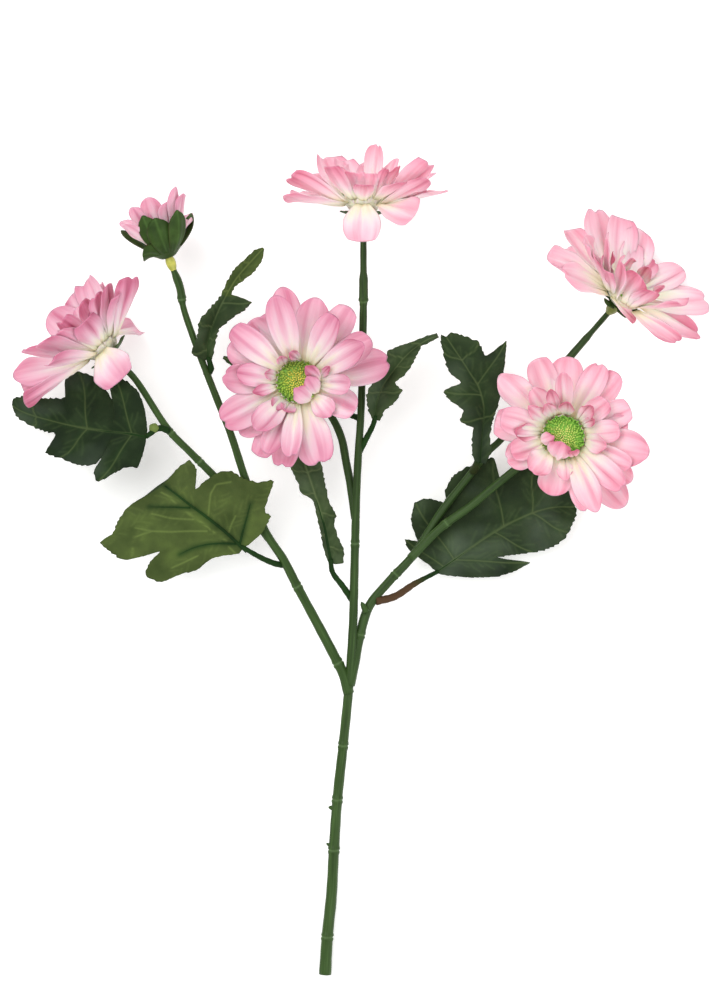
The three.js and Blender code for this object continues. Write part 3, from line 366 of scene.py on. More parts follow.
def petal_folds(petal, t, u):
    """Ridges (above 0) and channels (below 0) along a petal, fading out at both ends."""
    s = petal["seed"]
    fading = np.sin(math.pi * np.clip(t, 0, 1) ** 0.8) ** 0.7
    power = lerp(0.4, 1, draw(s + 0.31))
    centre = jitter(s + 0.37, 0.3) + jitter(s + 0.39, 0.22) * t
    wide = lerp(0.13, 0.26, draw(s + 0.45))
    apart = lerp(0.34, 0.52, draw(s + 0.49))
    beside = bell(u - centre - apart, CREASE_WIDTH)
    beside = beside + lerp(0.2, 1, draw(s + 0.51)) * bell(u - centre + apart, CREASE_WIDTH)
    ridge = bell(u - centre, wide) - 0.7 * beside
    if draw(s + 0.57) < 0.55:
        ridge = -ridge
    fine = 0.1 * np.sin(u * (13 + 5 * draw(s + 0.41)) + 2 * draw(s + 0.43))
    return fading * (power * ridge + fine)


def petal_relief(petal, t, u, half):
    """How far the surface stands out: ridges and channels along the petal and a waved edge."""
    s = petal["seed"]
    height = petal["fold"] * half * petal_folds(petal, t, u)
    wave = np.sin(2 * math.pi * (petal["waves"] * t + draw(s + 0.47)) + 1.1 * np.sign(u))
    height += petal["ruffle"] * np.abs(u) ** 3 * wave * smooth(0.15, 0.7, t)
    height += petal["curl"] * half * np.abs(u) ** 2.4 * smooth(0.45, 1, t)
    return height


def petal_line(petal):
    """The middle line of a petal from the side: shares of its length, its slope, run and climb."""
    rise, bend, nod = [math.radians(petal[key]) for key in ("rise", "bend", "nod")]
    share = np.linspace(0, 1, PETAL_STEPS + 1)
    slope = rise + bend * share + nod * smooth(0.5, 1.1, share) * share
    between = (slope[1:] + slope[:-1]) / 2
    step = petal["length"] / PETAL_STEPS
    run, climb = [np.concatenate([[0], np.cumsum(part(between))]) * step for part in (np.cos, np.sin)]
    return share, slope, run, climb


def petal_reach(petal, t, u):
    """How far along the petal each point lies, once the tip has its point and notch."""
    pointed = 1 - petal["point"] * u * u * smooth(0.4, 1, t)
    notch = petal["notch"] * bell(u - petal["notch_at"], 0.26) * smooth(0.8, 1, t)
    return np.clip(t * (pointed - notch), 0, 1)


def petal_grid(petal):
    """The middle surface of a petal: its points and the shares (along, across) of each."""
    rows, columns = petal["grid"]
    even = np.linspace(-1, 1, columns)
    u = (0.55 * even + 0.45 * np.sin(math.pi / 2 * even))[None, :]
    t = np.linspace(0, 1, rows)[:, None] ** 0.94
    share, *lines = petal_line(petal)
    slope, run, climb = [np.interp(petal_reach(petal, t, u), share, line)[..., None] for line in lines]
    turn, swing, twist = [math.radians(petal[key]) for key in ("turn", "swing", "twist")]
    outward = direction(turn + swing)
    sideways = np.array([-outward[1], outward[0], 0])
    normal = -np.sin(slope) * outward + np.cos(slope) * UP
    roll = (twist * t)[..., None]
    across = sideways * np.cos(roll) + normal * np.sin(roll)
    over = normal * np.cos(roll) - sideways * np.sin(roll)
    half = petal["width"] / 2 * petal_outline(t, petal["tip"])
    lift = petal["cup"] * half * u * u + petal_relief(petal, t, u, petal["width"] / 2)
    root = petal["root"][0] * direction(turn) + petal["root"][1] * UP
    middle = root + run * outward + climb * UP
    grid = middle + across * (u * half)[..., None] + over * lift[..., None]
    return grid, *np.broadcast_arrays(t, u)


def add_petal(body, petal):
    grid, t, u = petal_grid(petal)
    half = PETAL_HALF_THICKNESS * lerp(PETAL_EDGE_SHARE, 1, np.sqrt(np.clip(1 - u * u, 0, 1)))
    start, span = petal["tint"]
    folds = petal_folds(petal, t, u)
    place = triple(start + t * span, u, draw(petal["seed"] + 0.53))
    mark = triple(petal["depth"], 0, folds)
    under = triple(petal["depth"], 1, -folds)
    add_sheet(body, grid, half, place, mark, under)


def detailed(petal, depth):
    """Adds the small differences between petals: folds, ruffles, the shape of the tip.
    Each draw of a petal has its own offset from the seed."""
    s = petal["seed"]
    extra = {
        "fold": lerp(0.14, 0.3, draw(s + 0.11)),
        "ruffle": lerp(0.2, 0.9, draw(s + 0.13)),
        "waves": lerp(1.1, 2.2, draw(s + 0.17)),
        "curl": jitter(s + 0.19, 0.22) + 0.06,
        "nod": jitter(s + 0.23, 12),
        "tip": lerp(0.52, 0.74, draw(s + 0.29)),
        "point": lerp(0.02, 0.09, draw(s + 0.59)),
        "notch": 0.045 if draw(s + 0.61) < 0.28 else 0.0,
        "notch_at": jitter(s + 0.67, 0.5),
        "depth": min(1.0, max(0.0, depth + jitter(s + 0.71, 0.16))),
        "twist": 0.0, "swing": 0.0, "cup": 0.16, "tint": (0, 1), "grid": PETAL_GRID,
    }
    return {**extra, **petal}


PETAL_FIELDS = ("turn", "rise", "length", "width", "bend", "depth", "twist", "swing")
HANGING = {"tip": 0.72, "point": 0.03}


def placed_petals(rows, seed, root, over=0, step=7, shade=0.7, **shared):
    """Petals set one by one. A row gives the fields above, and twist and swing only if they aren't 0;
    every second root is higher by `over`, and `shade` scales the depth of colour."""
    petals = []
    for i, row in enumerate(rows):
        petal = {**dict(zip(PETAL_FIELDS, row)), **shared, "seed": seed + step * i}
        petal["root"] = (root[0], root[1] + i % 2 * over)
        if petal["rise"] < HANGING_RISE:
            petal.update(HANGING)
        depth = petal.pop("depth", 0)
        petals.append(detailed(petal, shade * depth))
    return petals


# ---------------------------------------------------------------- the heads

# The layers of petals: the root of a petal (from the axis, above the foot), how much higher and
# steeper every second petal is, and the cup. Petals that follow the rule also have a rise, a bend, a
# depth of colour and the spread of their rise, bend and twist.
LAYERS = {
    "outer": {
        "root": (8.3, 4.6), "over": (0.7, 7), "cup": 0.16, "rise": 5, "bend": 6, "depth": 0.12,
        "spread": (3, 8, 12),
    },
    "middle": {
        "root": (8.5, 6.5), "over": (0.4, 13), "cup": 0.24, "rise": 29, "bend": -4, "depth": 0.3,
        "spread": (4, 10, 14),
    },
    "inner": {"root": (9, 7.4), "over": (0, 0), "cup": 0.3},
}

# `foot` is where the calyx stands, `axis` the way the bloom faces, `right` the direction of turn 0.
# In "layers" a bloom has the turn, the reach seen from above and the width of each petal.
BLOOMS = [{
    "name": "bloom_left", "foot": (-104.6, 86.6, 28.994), "axis": (-0.7, 0.71, 0.12),
    "right": (0.7, 0.7, 0), "seed": 11,
    "outer": [
        (-36, 24, 31, 12, 8, 0.6, -44), (56, -19, 20.5, 13, 4, 0.1, 84),
        (-102, -46, 15.6, 19, -36, 0.1, 0, -6), (-127, 25, 29, 13, 4, 0.3), (175, 31, 33, 14, 6, 0.2, -70),
        (-163, 11, 34, 12, 4, 0.6, 44), (170, 19, 31, 13, 4, 0.5, -70), (-153, 46, 31, 12, 6, 0.3),
        (102, 49, 31, 17, 10, 0.2), (60, 45, 31, 14, 8, 0.2), (79, 39, 33.4, 14, 8, 0.2),
    ],
    "middle": [
        (-46, 39, 26, 12, 4, 0.6), (53, 36, 27, 10, 4, 0.4), (-131, 45, 28, 12, 4, 0.3),
        (-85, 38, 19, 14, 10, 0.4), (-66, 62, 22, 9, 4, 0.55), (-102, 58, 23, 9, 4, 0.6),
        (-114, 50, 22, 10, 4, 0.45), (-55, 47, 23, 11, 4, 0.4), (-129, 46, 25, 9, 4, 0.55),
        (110, 34, 25, 12, 4, 0.3), (-47, 26, 24, 10, 4, 0.4),
    ],
    "inner": [
        (80, 57, 19, 9, 4, 0.3), (62, 44, 18, 9, 4, 0.3), (-128, 47, 17, 8, 4, 0.3),
        (-59, 56, 16, 8, 4, 0.4), (111, 48, 19, 9, 4, 0.3), (-106, 48, 15, 9, 4, 0.3),
    ],
}, {
    "name": "bloom_top", "foot": (1.2, 144.8, 33.692), "axis": (0, 1, 0.06), "right": (1, 0, 0), "seed": 29,
    "outer": [
        (115, 32, 35.5, 17, 6, 0.1), (-149, 21, 30, 13, 6, 0.5, 34), (143, 8, 30, 15, 4, 0.1),
        (-148, 2, 31, 11, 6, 0.5, 24), (-31, 34, 30, 13, 4, 0.5, -34), (30, 23, 30, 13, 4, 0.1),
        (-35, 21, 27, 10, 4, 0.5, -30), (23, 8, 31, 13, 4, 0.2), (-44, -2, 22, 17, -20, 0.1, 54),
        (-92, -34, 19.5, 16, -44, 0.1),
    ],
    "middle": [
        (71, 68, 25.5, 8.5, 4, 0.2), (52, 48, 22.5, 7, 4, 0.2), (128, 21, 29, 14, 4, 0.2),
        (-125, 36, 22, 10, 4, 0.8), (-90, 29, 14, 9, 4, 0.8), (-49, 20, 19, 11, 4, 0.8),
        (108, 39, 26, 12, 4, 0.3), (97, 36, 24, 12, 4, 0.2), (47, 25, 24, 12, 4, 0.2),
        (65, 36, 20, 10, 4, 0.6), (81, 42, 20, 12, 4, 0.3), (139, 11, 24, 12, 4, 0.2),
        (30, 6, 22, 11, 4, 0.2),
    ],
    "inner": [
        (-58, 51, 16, 5, 4, 0.9), (-43, 49, 18, 6, 4, 0.7), (-113, 47, 16, 8, 4, 0.4),
        (-100, 51, 14, 8, 4, 0.3), (-79, 51, 13, 8, 4, 0.3), (124, 46, 18, 8, 4, 0.5),
    ],
}, {
    "name": "bloom_centre", "foot": (-25.6, 74.9, 34), "axis": (-0.06, 0.04, 1), "right": (1, 0, 0),
    "seed": 47,
    "layers": {
        "outer": (
            [100, 76, 55, 29, 13, -26, -100, -75, -118, -152, -137, 177, 127, 153, 115],
            [40.6, 36.4, 38.2, 35.5, 39.3, 27.5, 37, 36, 35.8, 36.2, 33.2, 32.5, 33, 33.2, 32],
            [13, 15, 13, 13, 15.5, 13, 12, 16.5, 11, 15, 12, 13, 12, 13, 12],
        ),
        "middle": (
            [141, 103, 59, 26, -45, -5, -112, -95, 172, -128],
            [33.5, 33.4, 30.8, 32, 20, 22.5, 33, 31, 25, 27],
            [12, 12.5, 11.5, 11.5, 10, 9, 10, 9, 10, 12],
        ),
    },
    "inner": [
        (-56, 84, 16, 8.5, 72, 0.25, 0, 20), (-30, 88, 15, 7.5, 60, 0.4, 0, -30),
        (4, 92, 16, 6, 56, 0.7, 0, -48), (10, 55, 12, 3.4, 8, 1, 0, 30), (-8, 36, 16, 3.6, -6, 0.95, 0, 12),
        (84, 52, 9, 4.5, 10, 0.6, 0, 60), (-166, 38, 12, 5, -8, 0.9), (-132, 48, 8.5, 7, -6, 0.85, 0, 4),
        (-108, 50, 8, 7, 10, 0.7, 0, -8), (128, 58, 7.5, 5, 8, 0.35, 0, -12),
        (165, 50, 8, 5, 4, 0.25, 0, 6),
    ],
}, {
    "name": "bloom_upper_right", "foot": (107.8, 108.6, 23.099), "axis": (0.54, 0.63, 0.55),
    "right": (0.76, -0.65, 0), "seed": 63,
    "outer": [
        (147, 16, 33, 19, 6, 0.1), (157, -9, 31, 17, 6, 0.1), (156, -23, 30, 17, 4, 0.1),
        (-152, 4, 31, 17, -4, 0.1), (-137, 12, 27, 17, -6, 0.1), (130, 23, 29, 17, 8, 0.2),
        (111, 21, 29, 17, 8, 0.2), (70, 15, 29, 13, 8, 0.2), (41, 15, 32, 18, 8, 0.2),
        (18, 1, 30, 16, 4, 0.6), (-23, 14, 25, 17, 4, 0.8), (-118, -4, 15, 8, -10, 0.9, 0, 118),
    ],
    "middle": [
        (-138, 36, 24, 12, 4, 0.8), (-157, 50, 26, 13, 4, 0.2), (-105, 60, 22, 13, 4, 0.4, 0, -44),
        (-154, 29, 28, 14, 4, 0.2), (89, 17, 19, 9, 4, 0.8), (72, -2, 25, 12, 4, 0.3),
        (58, 1, 24, 13, 4, 0.3), (-20, 50, 24, 12, 4, 0.3), (-53, 69, 17, 11, 4, 0.6),
        (-88, 79, 17, 13, 10, 0.5, 0, -14), (-128, 39, 21, 14, 4, 0.5), (114, 18, 20, 12, 4, 0.4),
    ],
    "inner": [
        (81, 94, 12, 7, 4, 0.8), (9, 81, 13, 7, 4, 0.8), (-162, 59, 15, 8, 4, 0.8),
        (152, 90, 12, 7, 4, 0.8),
    ],
}, {
    "name": "bloom_right", "foot": (85.4, 53, 33), "axis": (-0.08, -0.08, 1), "right": (1, 0, 0),
    "seed": 85,
    "layers": {
        "outer": (
            [109, 135, 87, 62, 49, 24, 13, -10, -32, -72, -48, -100, 168, -157],
            [35.3, 38.2, 33.6, 34.9, 35.5, 30.5, 28, 37.6, 34.6, 32.7, 39.1, 25.5, 29.6, 26.3],
            [12.5, 13, 14.5, 11.5, 12, 12.5, 10, 16, 11, 9.5, 14, 14.5, 14, 13],
        ),
        "middle": (
            [122, 87, -21, -37, -163, -63, 40, 160, 8, -132],
            [24, 29.8, 30.8, 32, 22, 32.4, 24, 26, 24, 19.5],
            [9, 8, 8.5, 11, 10.5, 11.5, 10, 12, 10, 12],
        ),
    },
    "inner": [
        (103, 52, 22, 5.5, 4, 1), (136, 50, 16, 6.5, 2, 0.6), (82, 60, 14, 7, 6, 1),
        (47, 50, 16, 6.5, 2, 0.95), (30, 52, 11, 4.5, 4, 1), (-10, 50, 15, 8.5, 0, 0.35),
        (-60, 84, 12, 6, 40, 0.8, 0, -20), (-108, 82, 17, 10.5, 76, 0.3, 0, -4),
        (-168, 84, 14, 6, 74, 0.5, 0, 14), (172, 44, 17, 8, 10, 0.95), (-88, 40, 12, 7, 6, 0.2, 0, 6),
        (116, 56, 13, 6, 8, 0.5),
    ],
}]


def layer_petals(layer, turns, reaches, widths, seed):
    """One layer of a bloom that faces up; every second petal lies over its neighbours."""
    rise_spread, bend_spread, twist_spread = layer["spread"]
    root, over = layer["root"], layer["over"]
    petals = []
    for i, (turn, reach, width) in enumerate(zip(turns, reaches, widths)):
        s = seed + 7 * i
        lifted = i % 2
        rise = layer["rise"] + lifted * over[1] + jitter(s + 1, rise_spread)
        petal = {
            "seed": s,
            "root": (root[0], root[1] + lifted * over[0]),
            "turn": turn,
            "length": (reach - root[0]) / math.cos(math.radians(rise)),
            "width": width,
            "rise": rise,
            "bend": layer["bend"] + jitter(s + 4, bend_spread),
            "twist": jitter(s + 5, twist_spread),
            "cup": layer["cup"],
        }
        petals.append(detailed(petal, layer["depth"]))
    return petals


def bloom_petals(bloom):
    seed = bloom["seed"]
    petals = []
    if "layers" in bloom:
        petals += placed_petals(bloom["inner"], seed + 500, (9.2, 7.4), 0, 3, 1, cup=0.34, point=0.16)
        for k, (name, columns) in enumerate(bloom["layers"].items()):
            petals += layer_petals(LAYERS[name], *columns, seed + 200 * k)
        return petals
    for k, (name, layer) in enumerate(LAYERS.items()):
        root, over = layer["root"], layer["over"][0]
        petals += placed_petals(bloom[name], seed + 300 * k, root, over, cup=layer["cup"])
    return petals


def head_frame(head):
    """Columns of the frame that a head is drawn in: +Z along its axis."""
    z = unit(head["axis"])
    right = np.array(head["right"])
    x = unit(right - z * (z @ right))
    return np.stack([x, np.cross(z, x), z], axis=-1)


SHEATH = {
    "width": 4.8, "rise": 49, "bend": 26, "cup": -0.16, "fold": 0.05, "ruffle": 0.1, "curl": -0.05,
    "nod": 0.0, "tint": (0.11, 0.14), "grid": (14, 11),
}


def sheath_petals(seed):
    """Short pale petals laid close round the core, where the bloom is seen from behind."""
    petals = []
    for i in range(SHEATH_COUNT):
        petal = {
            **SHEATH,
            "seed": seed + 3 * i,
            "root": (4.7, 1.9 + 0.25 * (i % 2)),
            "turn": 360 * i / SHEATH_COUNT + jitter(seed + i, 6),
            "length": 8.4 + jitter(seed + i + 0.5, 0.8),
        }
        petals.append(detailed(petal, 0))
    return petals


def petals_body(petals, core):
    body = Body()
    add_lathe(body, core, CORE_SIDES, (0, 0, 0), place=CORE_TINT)
    for petal in petals:
        add_petal(body, petal)
    return body


def disc_height(share):
    return DISC_RISE * math.sqrt(max(0, 1 - share * share))


def floret_faces():
    """The faces of one floret: two belts, a pointed top and a flat foot."""
    around = [(k, (k + 1) % FLORET_SIDES) for k in range(FLORET_SIDES)]
    faces = []
    for low in (0, FLORET_SIDES):
        high = low + FLORET_SIDES
        faces += [[low + a, low + b, high + b, high + a] for a, b in around]
    tip = high + FLORET_SIDES
    faces += [[high + a, high + b, tip] for a, b in around]
    return [*faces, list(range(FLORET_SIDES))[::-1]]


FLORET_FACES = floret_faces()
FLORET_HEIGHTS = np.repeat([0, 0.55, 1], (FLORET_SIDES, FLORET_SIDES, FLORET_SIDES + 1))


def floret_points(base, lean, wide, tall):
    angles = np.linspace(0, 2 * math.pi, FLORET_SIDES, endpoint=False)
    side = unit(np.cross(lean, (0.3, 0.9, 0.1)))
    circle = np.cos(angles)[:, None] * side + np.sin(angles)[:, None] * np.cross(lean, side)
    levels = ((1, -0.5), (1.05, tall * 0.55), (0.68, tall))
    rings = [base + lean * height + wide * scale * circle for scale, height in levels]
    return np.vstack([*rings, base + lean * (tall + 0.12)])


def add_floret(body, i, seed, green, shaded):
    """Adds a floret of the spiral that runs from the middle of the disc to its rim."""
    share = math.sqrt((i + 0.5) / FLORET_COUNT)
    turn = i * GOLDEN_ANGLE + jitter(seed, 0.1)
    level = direction(turn)
    base = level * (DISC_RADIUS * share) + UP * (DISC_FOOT + disc_height(share) + 0.1)
    lean = unit(level * share * FLORET_LEAN + UP)
    wide = lerp(0.32, 0.46, share) * (1 + jitter(seed + 0.3, 0.25))
    tall = lerp(0.55, 1.15, share) * (1 + jitter(seed + 0.6, 0.35))
    # Painted shade: florets on the side that `shaded` points to, more so towards the rim, are darkened.
    painted_shade_share = max(0, math.cos(turn - math.radians(shaded))) * share
    place = triple(share, FLORET_HEIGHTS, draw(seed + 0.9))
    body.add(floret_points(base, lean, wide, tall), FLORET_FACES, place, (green, painted_shade_share, 0))


def disc_body(seed, green, shaded):
    """A low dome of florets. `green` (0 to 1) is how far it is from yellow; the side that `shaded`
    (degrees) points to gets a painted shade, a dull brownish green."""
    body = Body()
    shares = (1, 0.97, 0.85, 0.66, 0.42, 0.2, 0)
    dome = [(DISC_RADIUS * share, DISC_FOOT + (disc_height(share) + DISC_SKIN)) for share in shares]
    skin = [(0, DISC_FOOT), (DISC_RADIUS * DISC_FOOT_SHARE, DISC_FOOT), *dome]
    add_lathe(body, skin, CORE_SIDES, (green, 0, 0))
    for i in range(FLORET_COUNT):
        add_floret(body, i, seed + i, green, shaded)
    return body


BRACT = {
    "cup": 0.16, "fold": 0.1, "ruffle": 0.12, "nod": 0.0, "tip": 0.42, "point": 0.08, "notch": 0.0,
    "curl": 0.05, "grid": (22, 15),
}


def calyx_body(cup, rows, seed, root):
    """A green cup with bracts; a row of a bract gives the fields of a petal."""
    body = Body()
    add_lathe(body, rounded(cup), CALYX_SIDES, (0, 0, 0))
    for petal in placed_petals(rows, seed, root, step=1, **BRACT):
        add_petal(body, petal)
    return body


def neck_body(radius):
    body = Body()
    low = -NECK_LENGTH - NECK_GAP - 0.2
    profile = [
        (0, low), (radius * 0.58, low), (radius * 0.64, -NECK_LENGTH), (radius * 0.86, -NECK_LENGTH * 0.8),
        (radius, -NECK_LENGTH * 0.5), (radius * 0.98, -NECK_LENGTH * 0.25),
        (radius * 0.84, -NECK_GAP), (radius * 0.8, 0.1), (0, 0.1),
    ]
    add_lathe(body, rounded(profile, 4), CALYX_SIDES, (0, 0, 0), *NECK_RIPPLE)
    return body


# The looks of a head's parts that aren't the usual ones, and how green each disc is and the side of
# it that gets a painted shade, a dull brownish green.
OWN_LOOKS = {
    "bud": {"petals": "mauve", "neck": "neck_bright"},
    "bloom_left": {"petals": "mauve"},
    "bloom_centre": {"petals": "mauve"},
}
DISC_GREEN_AND_SHADE = {"bloom_centre": (0.1, 105), "bloom_right": (0.9, 205)}
USUAL_DISC_GREEN_AND_SHADE = (0.6, 90)


def build_head(head, bodies, looks):
    """Carries the bodies of a head to its foot and makes a piece of each."""
    frame = head_frame(head)
    foot = np.array(head["foot"], float)
    for part, body in bodies.items():
        node = f"{head['name']}_{part}"
        look = looks[OWN_LOOKS.get(head["name"], {}).get(part, part)]
        slot = "petal" if part == "petals" else part
        body.moved(frame, foot).build(f"fine_{node}", node, slot, look)


def build_bloom(bloom, looks):
    seed = bloom["seed"]
    rim, shoulder = CORE_RIM
    core = [(0, CORE_FOOT[1]), CORE_FOOT, (rim, shoulder), (rim, CORE_TOP), (0, CORE_TOP)]
    top = CORE_FOOT[1] - NECK_GAP
    cup = [(0, 0), (2.9, 0), (4.4, 0.6), (4.9, 1), (CORE_FOOT[0], top), (0, top)]
    bracts = [(60 * i + 11, 10, 7.2, 6, 10) for i in range(6)]
    build_head(bloom, {
        "petals": petals_body(bloom_petals(bloom) + sheath_petals(seed + 900), core),
        "disc": disc_body(seed, *DISC_GREEN_AND_SHADE.get(bloom["name"], USUAL_DISC_GREEN_AND_SHADE)),
        "calyx": calyx_body(cup, bracts, seed + 810, (3.2, 0.3)),
        "neck": neck_body(NECK_RADIUS),
    }, looks)


# ---------------------------------------------------------------- the bud

BUD = {"name": "bud", "foot": (-80.4, 127.6, 32), "axis": (-0.34, 0.94, 0.1), "right": (0.94, 0.34, 0)}
BUD_OUTER = [
    (-35, 58, 26.6, 8, 8, 0.4), (-28, 50, 23.8, 10, 12, 0.5), (-91, 78, 23.4, 10, 12, 0.3),
    (-128, 61, 23.4, 9, 12, 0.7), (126, 36, 26, 8.5, 8, 0.4), (-43, 63, 20.4, 10, 12, 0.4),
    (82, 36, 22, 9, 20, 0.2), (-103, 71, 16.8, 7, 20, 0.9), (-138, 45, 21.8, 8, 8, 0.5),
    (45, 22, 20, 8, 16, 0.5),
]
BUD_INNER = [
    (-45, 62, 15.4, 8, 18, 0.8), (112, 45, 17, 7, 18, 0.7), (39, 45, 18, 8, 18, 0.5),
    (140, 51, 17, 7, 18, 0.5),
]
BUD_BRACTS = [
    (-107, 37, 23, 9.5, 50), (-89, 28, 21, 11, 60), (-56, 25, 23, 9.5, 50), (41, 18, 21, 9, 40),
    (135, 37, 24, 8, 8), (75, 29, 18, 9, 40), (-129, 38, 13, 8, -40, 0, 70),
]
BUD_TIP = {"tip": 0.56, "point": 0.05, "notch": 0.0, "tint": (0, 0.9)}


def build_bud(looks):
    petals = placed_petals(BUD_OUTER, 300, (3.6, 3.8), cup=0.26, **BUD_TIP)
    petals += placed_petals(BUD_INNER, 330, (2.6, 4.6), cup=0.3, **BUD_TIP)
    pale = [{**petal, "depth": 0.3 * petal["depth"]} for petal in petals]
    core = [(0, 1.3), (2.6, 1.3), (5.2, 3.4), (5.2, 5.5), (0, 7.5)]
    cup = [(0, 0), (2.6, 0), (5.0, 1.6), (6.4, 2.8), (6.0, 3.4), (0, 3.4)]
    build_head(BUD, {
        "petals": petals_body(pale, core),
        "calyx": calyx_body(cup, BUD_BRACTS, 410, (3.6, 1.2)),
        "neck": neck_body(NECK_RADIUS * 0.8),
    }, looks)


# ---------------------------------------------------------------- the stem

# `points` are seen from above, `low` is the height at the start and `head` what the branch ends at;
# `radii` and `tone` (how dark it is) hold at both ends, and the joints and the thicker sleeves are
# given by their place along +Y.
BRANCHES = [{
    "points": [
        (-15.1, -175.6), (-14.1, -159), (-12.4, -142.2), (-11.3, -122), (-9.9, -101.4), (-7.3, -77.1),
        (-5, -54), (-4, -41.4), (-3.1, -24.6), (-2.7, -7.8), (-2.3, 7.8), (-1.9, 24.1), (-1.1, 42.6),
        (0.2, 63.6), (0.8, 88.8), (1.2, 109.8),
    ],
    "head": "bloom_top", "low": CUT_END_HEIGHT, "radii": (2.6, 1.35), "tone": (0.15, 1),
    "joints": [-159.5, -122.5, -101, -78, 7.5, 109], "sleeves": [(96, 109.5, 1.1), (109, 121.5, 1.36)],
}, {
    "points": [
        (-5, -56), (-7.3, -47.7), (-10, -42.2), (-17, -28.8), (-26.7, -10.7), (-32.5, 0.6), (-40.1, 12.4),
        (-48.5, 34.6), (-54.8, 54), (-60.3, 68), (-69.5, 92), (-74.5, 107),
    ],
    "head": "bud", "low": FORK_HEIGHT, "radii": (2.3, 1.3), "tone": (0.3, 0.6), "joints": [-43, -10.7, 110],
    "sleeves": [(109.5, 121.5, 1.3)],
}, {
    "points": [
        (-38.5, 9.5), (-48.5, 22.5), (-61.3, 35.5), (-72.2, 46.4), (-80.4, 54.8),
    ],
    "head": "bloom_left", "low": 20.6, "radii": (1.9, 1.35), "tone": (0.3, 0.3), "joints": [42, 54],
    "sleeves": [],
}, {
    "points": [
        (-2.1, 18), (-4.4, 33), (-6.1, 41.8), (-8.2, 52.3), (-13, 62),
    ],
    "head": "bloom_centre", "low": 21, "radii": (1.9, 1.5), "tone": (0.7, 1), "joints": [], "sleeves": [],
}, {
    "points": [
        (-4.7, -52.5), (-2.7, -43.5), (-0.2, -30.9), (3.6, -19.1), (12, -8.6), (22.1, 2.3), (34.6, 21.6),
        (45.1, 35.1), (54, 46.4), (58.6, 50.6), (73.3, 67.8), (84, 81),
    ],
    "head": "bloom_upper_right", "low": FORK_HEIGHT, "radii": (2.3, 1.15), "tone": (0.4, 1),
    "joints": [-31, -5.5, 84], "sleeves": [(84, 96.5, 1.28)],
}, {
    "points": [
        (21, 1.2), (33.8, 14.1), (46.4, 23.3), (58.6, 33.4), (67, 40.1), (76, 47),
    ],
    "head": "bloom_right", "low": 16.2, "radii": (1.9, 1.5), "tone": (0.3, 0.7), "joints": [16],
    "sleeves": [],
}]

SCARS = [
    ((-10.4, -105, 9.5), (-13.6, -104.2, 9.8), 1.3),
    ((-11.6, -121.5, 8), (-14.5, -119.6, 8.2), 1),
    ((2.4, -21.5, 17.2), (0.4, -17.2, 18), 1.5),
]

# Extra rings of points on both sides of a joint.
JOINT_RINGS = (-2, -1.2, -0.6, -0.25, 0, 0.25, 0.6, 1.2, 2)


def branch_curve(branch, head):
    """The middle line of a branch, which runs out along the axis of its head."""
    axis = unit(head["axis"])
    end = np.array(head["foot"], float) - axis * STALK_STOP
    before = np.array(head["foot"], float) - axis * (STALK_STOP + NECK_STRAIGHT)
    run = running_length(np.array([*branch["points"], before[:2]], float))
    heights = lerp(branch["low"], before[2], run / run[-1])
    rising = [(x, y, z) for (x, y), z in zip(branch["points"], heights)]
    return Curve([*rising, before, end])


def add_branch(body, branch, head):
    curve = branch_curve(branch, head)
    joints = [curve.distance_at_y(y) for y in branch["joints"]]
    stations = [*np.arange(0, curve.length, STEM_STEP), curve.length]
    stations += [at + offset for at in joints for offset in JOINT_RINGS]
    d = np.unique(np.clip(stations, 0, curve.length).round(2))
    share = d / curve.length
    radius = lerp(*branch["radii"], share ** 0.7)
    seam = np.zeros(len(d))
    for at in joints:
        radius *= 1 + JOINT_SWELL * bell(np.abs(d - at) - 0.8, 0.7) - JOINT_SEAM * bell(d - at, 0.3)
        seam = np.maximum(seam, bell(d - at, 0.45))
    for low, high, swell in branch["sleeves"]:
        start, stop = curve.distance_at_y(low), curve.distance_at_y(high)
        radius *= 1 + (swell - 1) * smooth(start - 0.8, start + 0.4, d) * (1 - smooth(stop - 3, stop, d))
    radius *= 1 + 0.015 * np.sin(d * 0.7) + 0.012 * np.sin(d * 0.23 + 1)
    mark = triple(seam, lerp(*branch["tone"], share), 0)
    add_tube(body, curve, d, radius, STEM_SIDES, mark, STEM_FLUTES)


def add_scar(body, start, end, radius):
    curve = Curve([start, lerp(np.array(start), np.array(end), 0.5), end])
    d = np.linspace(0, curve.length, SCAR_RINGS)
    share = d / curve.length
    radii = radius * (1 - 0.4 * share) * np.sqrt(np.clip(1.02 - share ** 6, 0.05, 1))
    add_tube(body, curve, d, radii, SCAR_SIDES, np.tile((0.0, 0.2, 0.0), (SCAR_RINGS, 1)))


def build_stem(heads, looks):
    body = Body()
    for branch in BRANCHES:
        add_branch(body, branch, heads[branch["head"]])
    for scar in SCARS:
        add_scar(body, *scar)
    body.build("fine_stem", "stem", "stem", looks["stem"])


# ---------------------------------------------------------------- the leaves

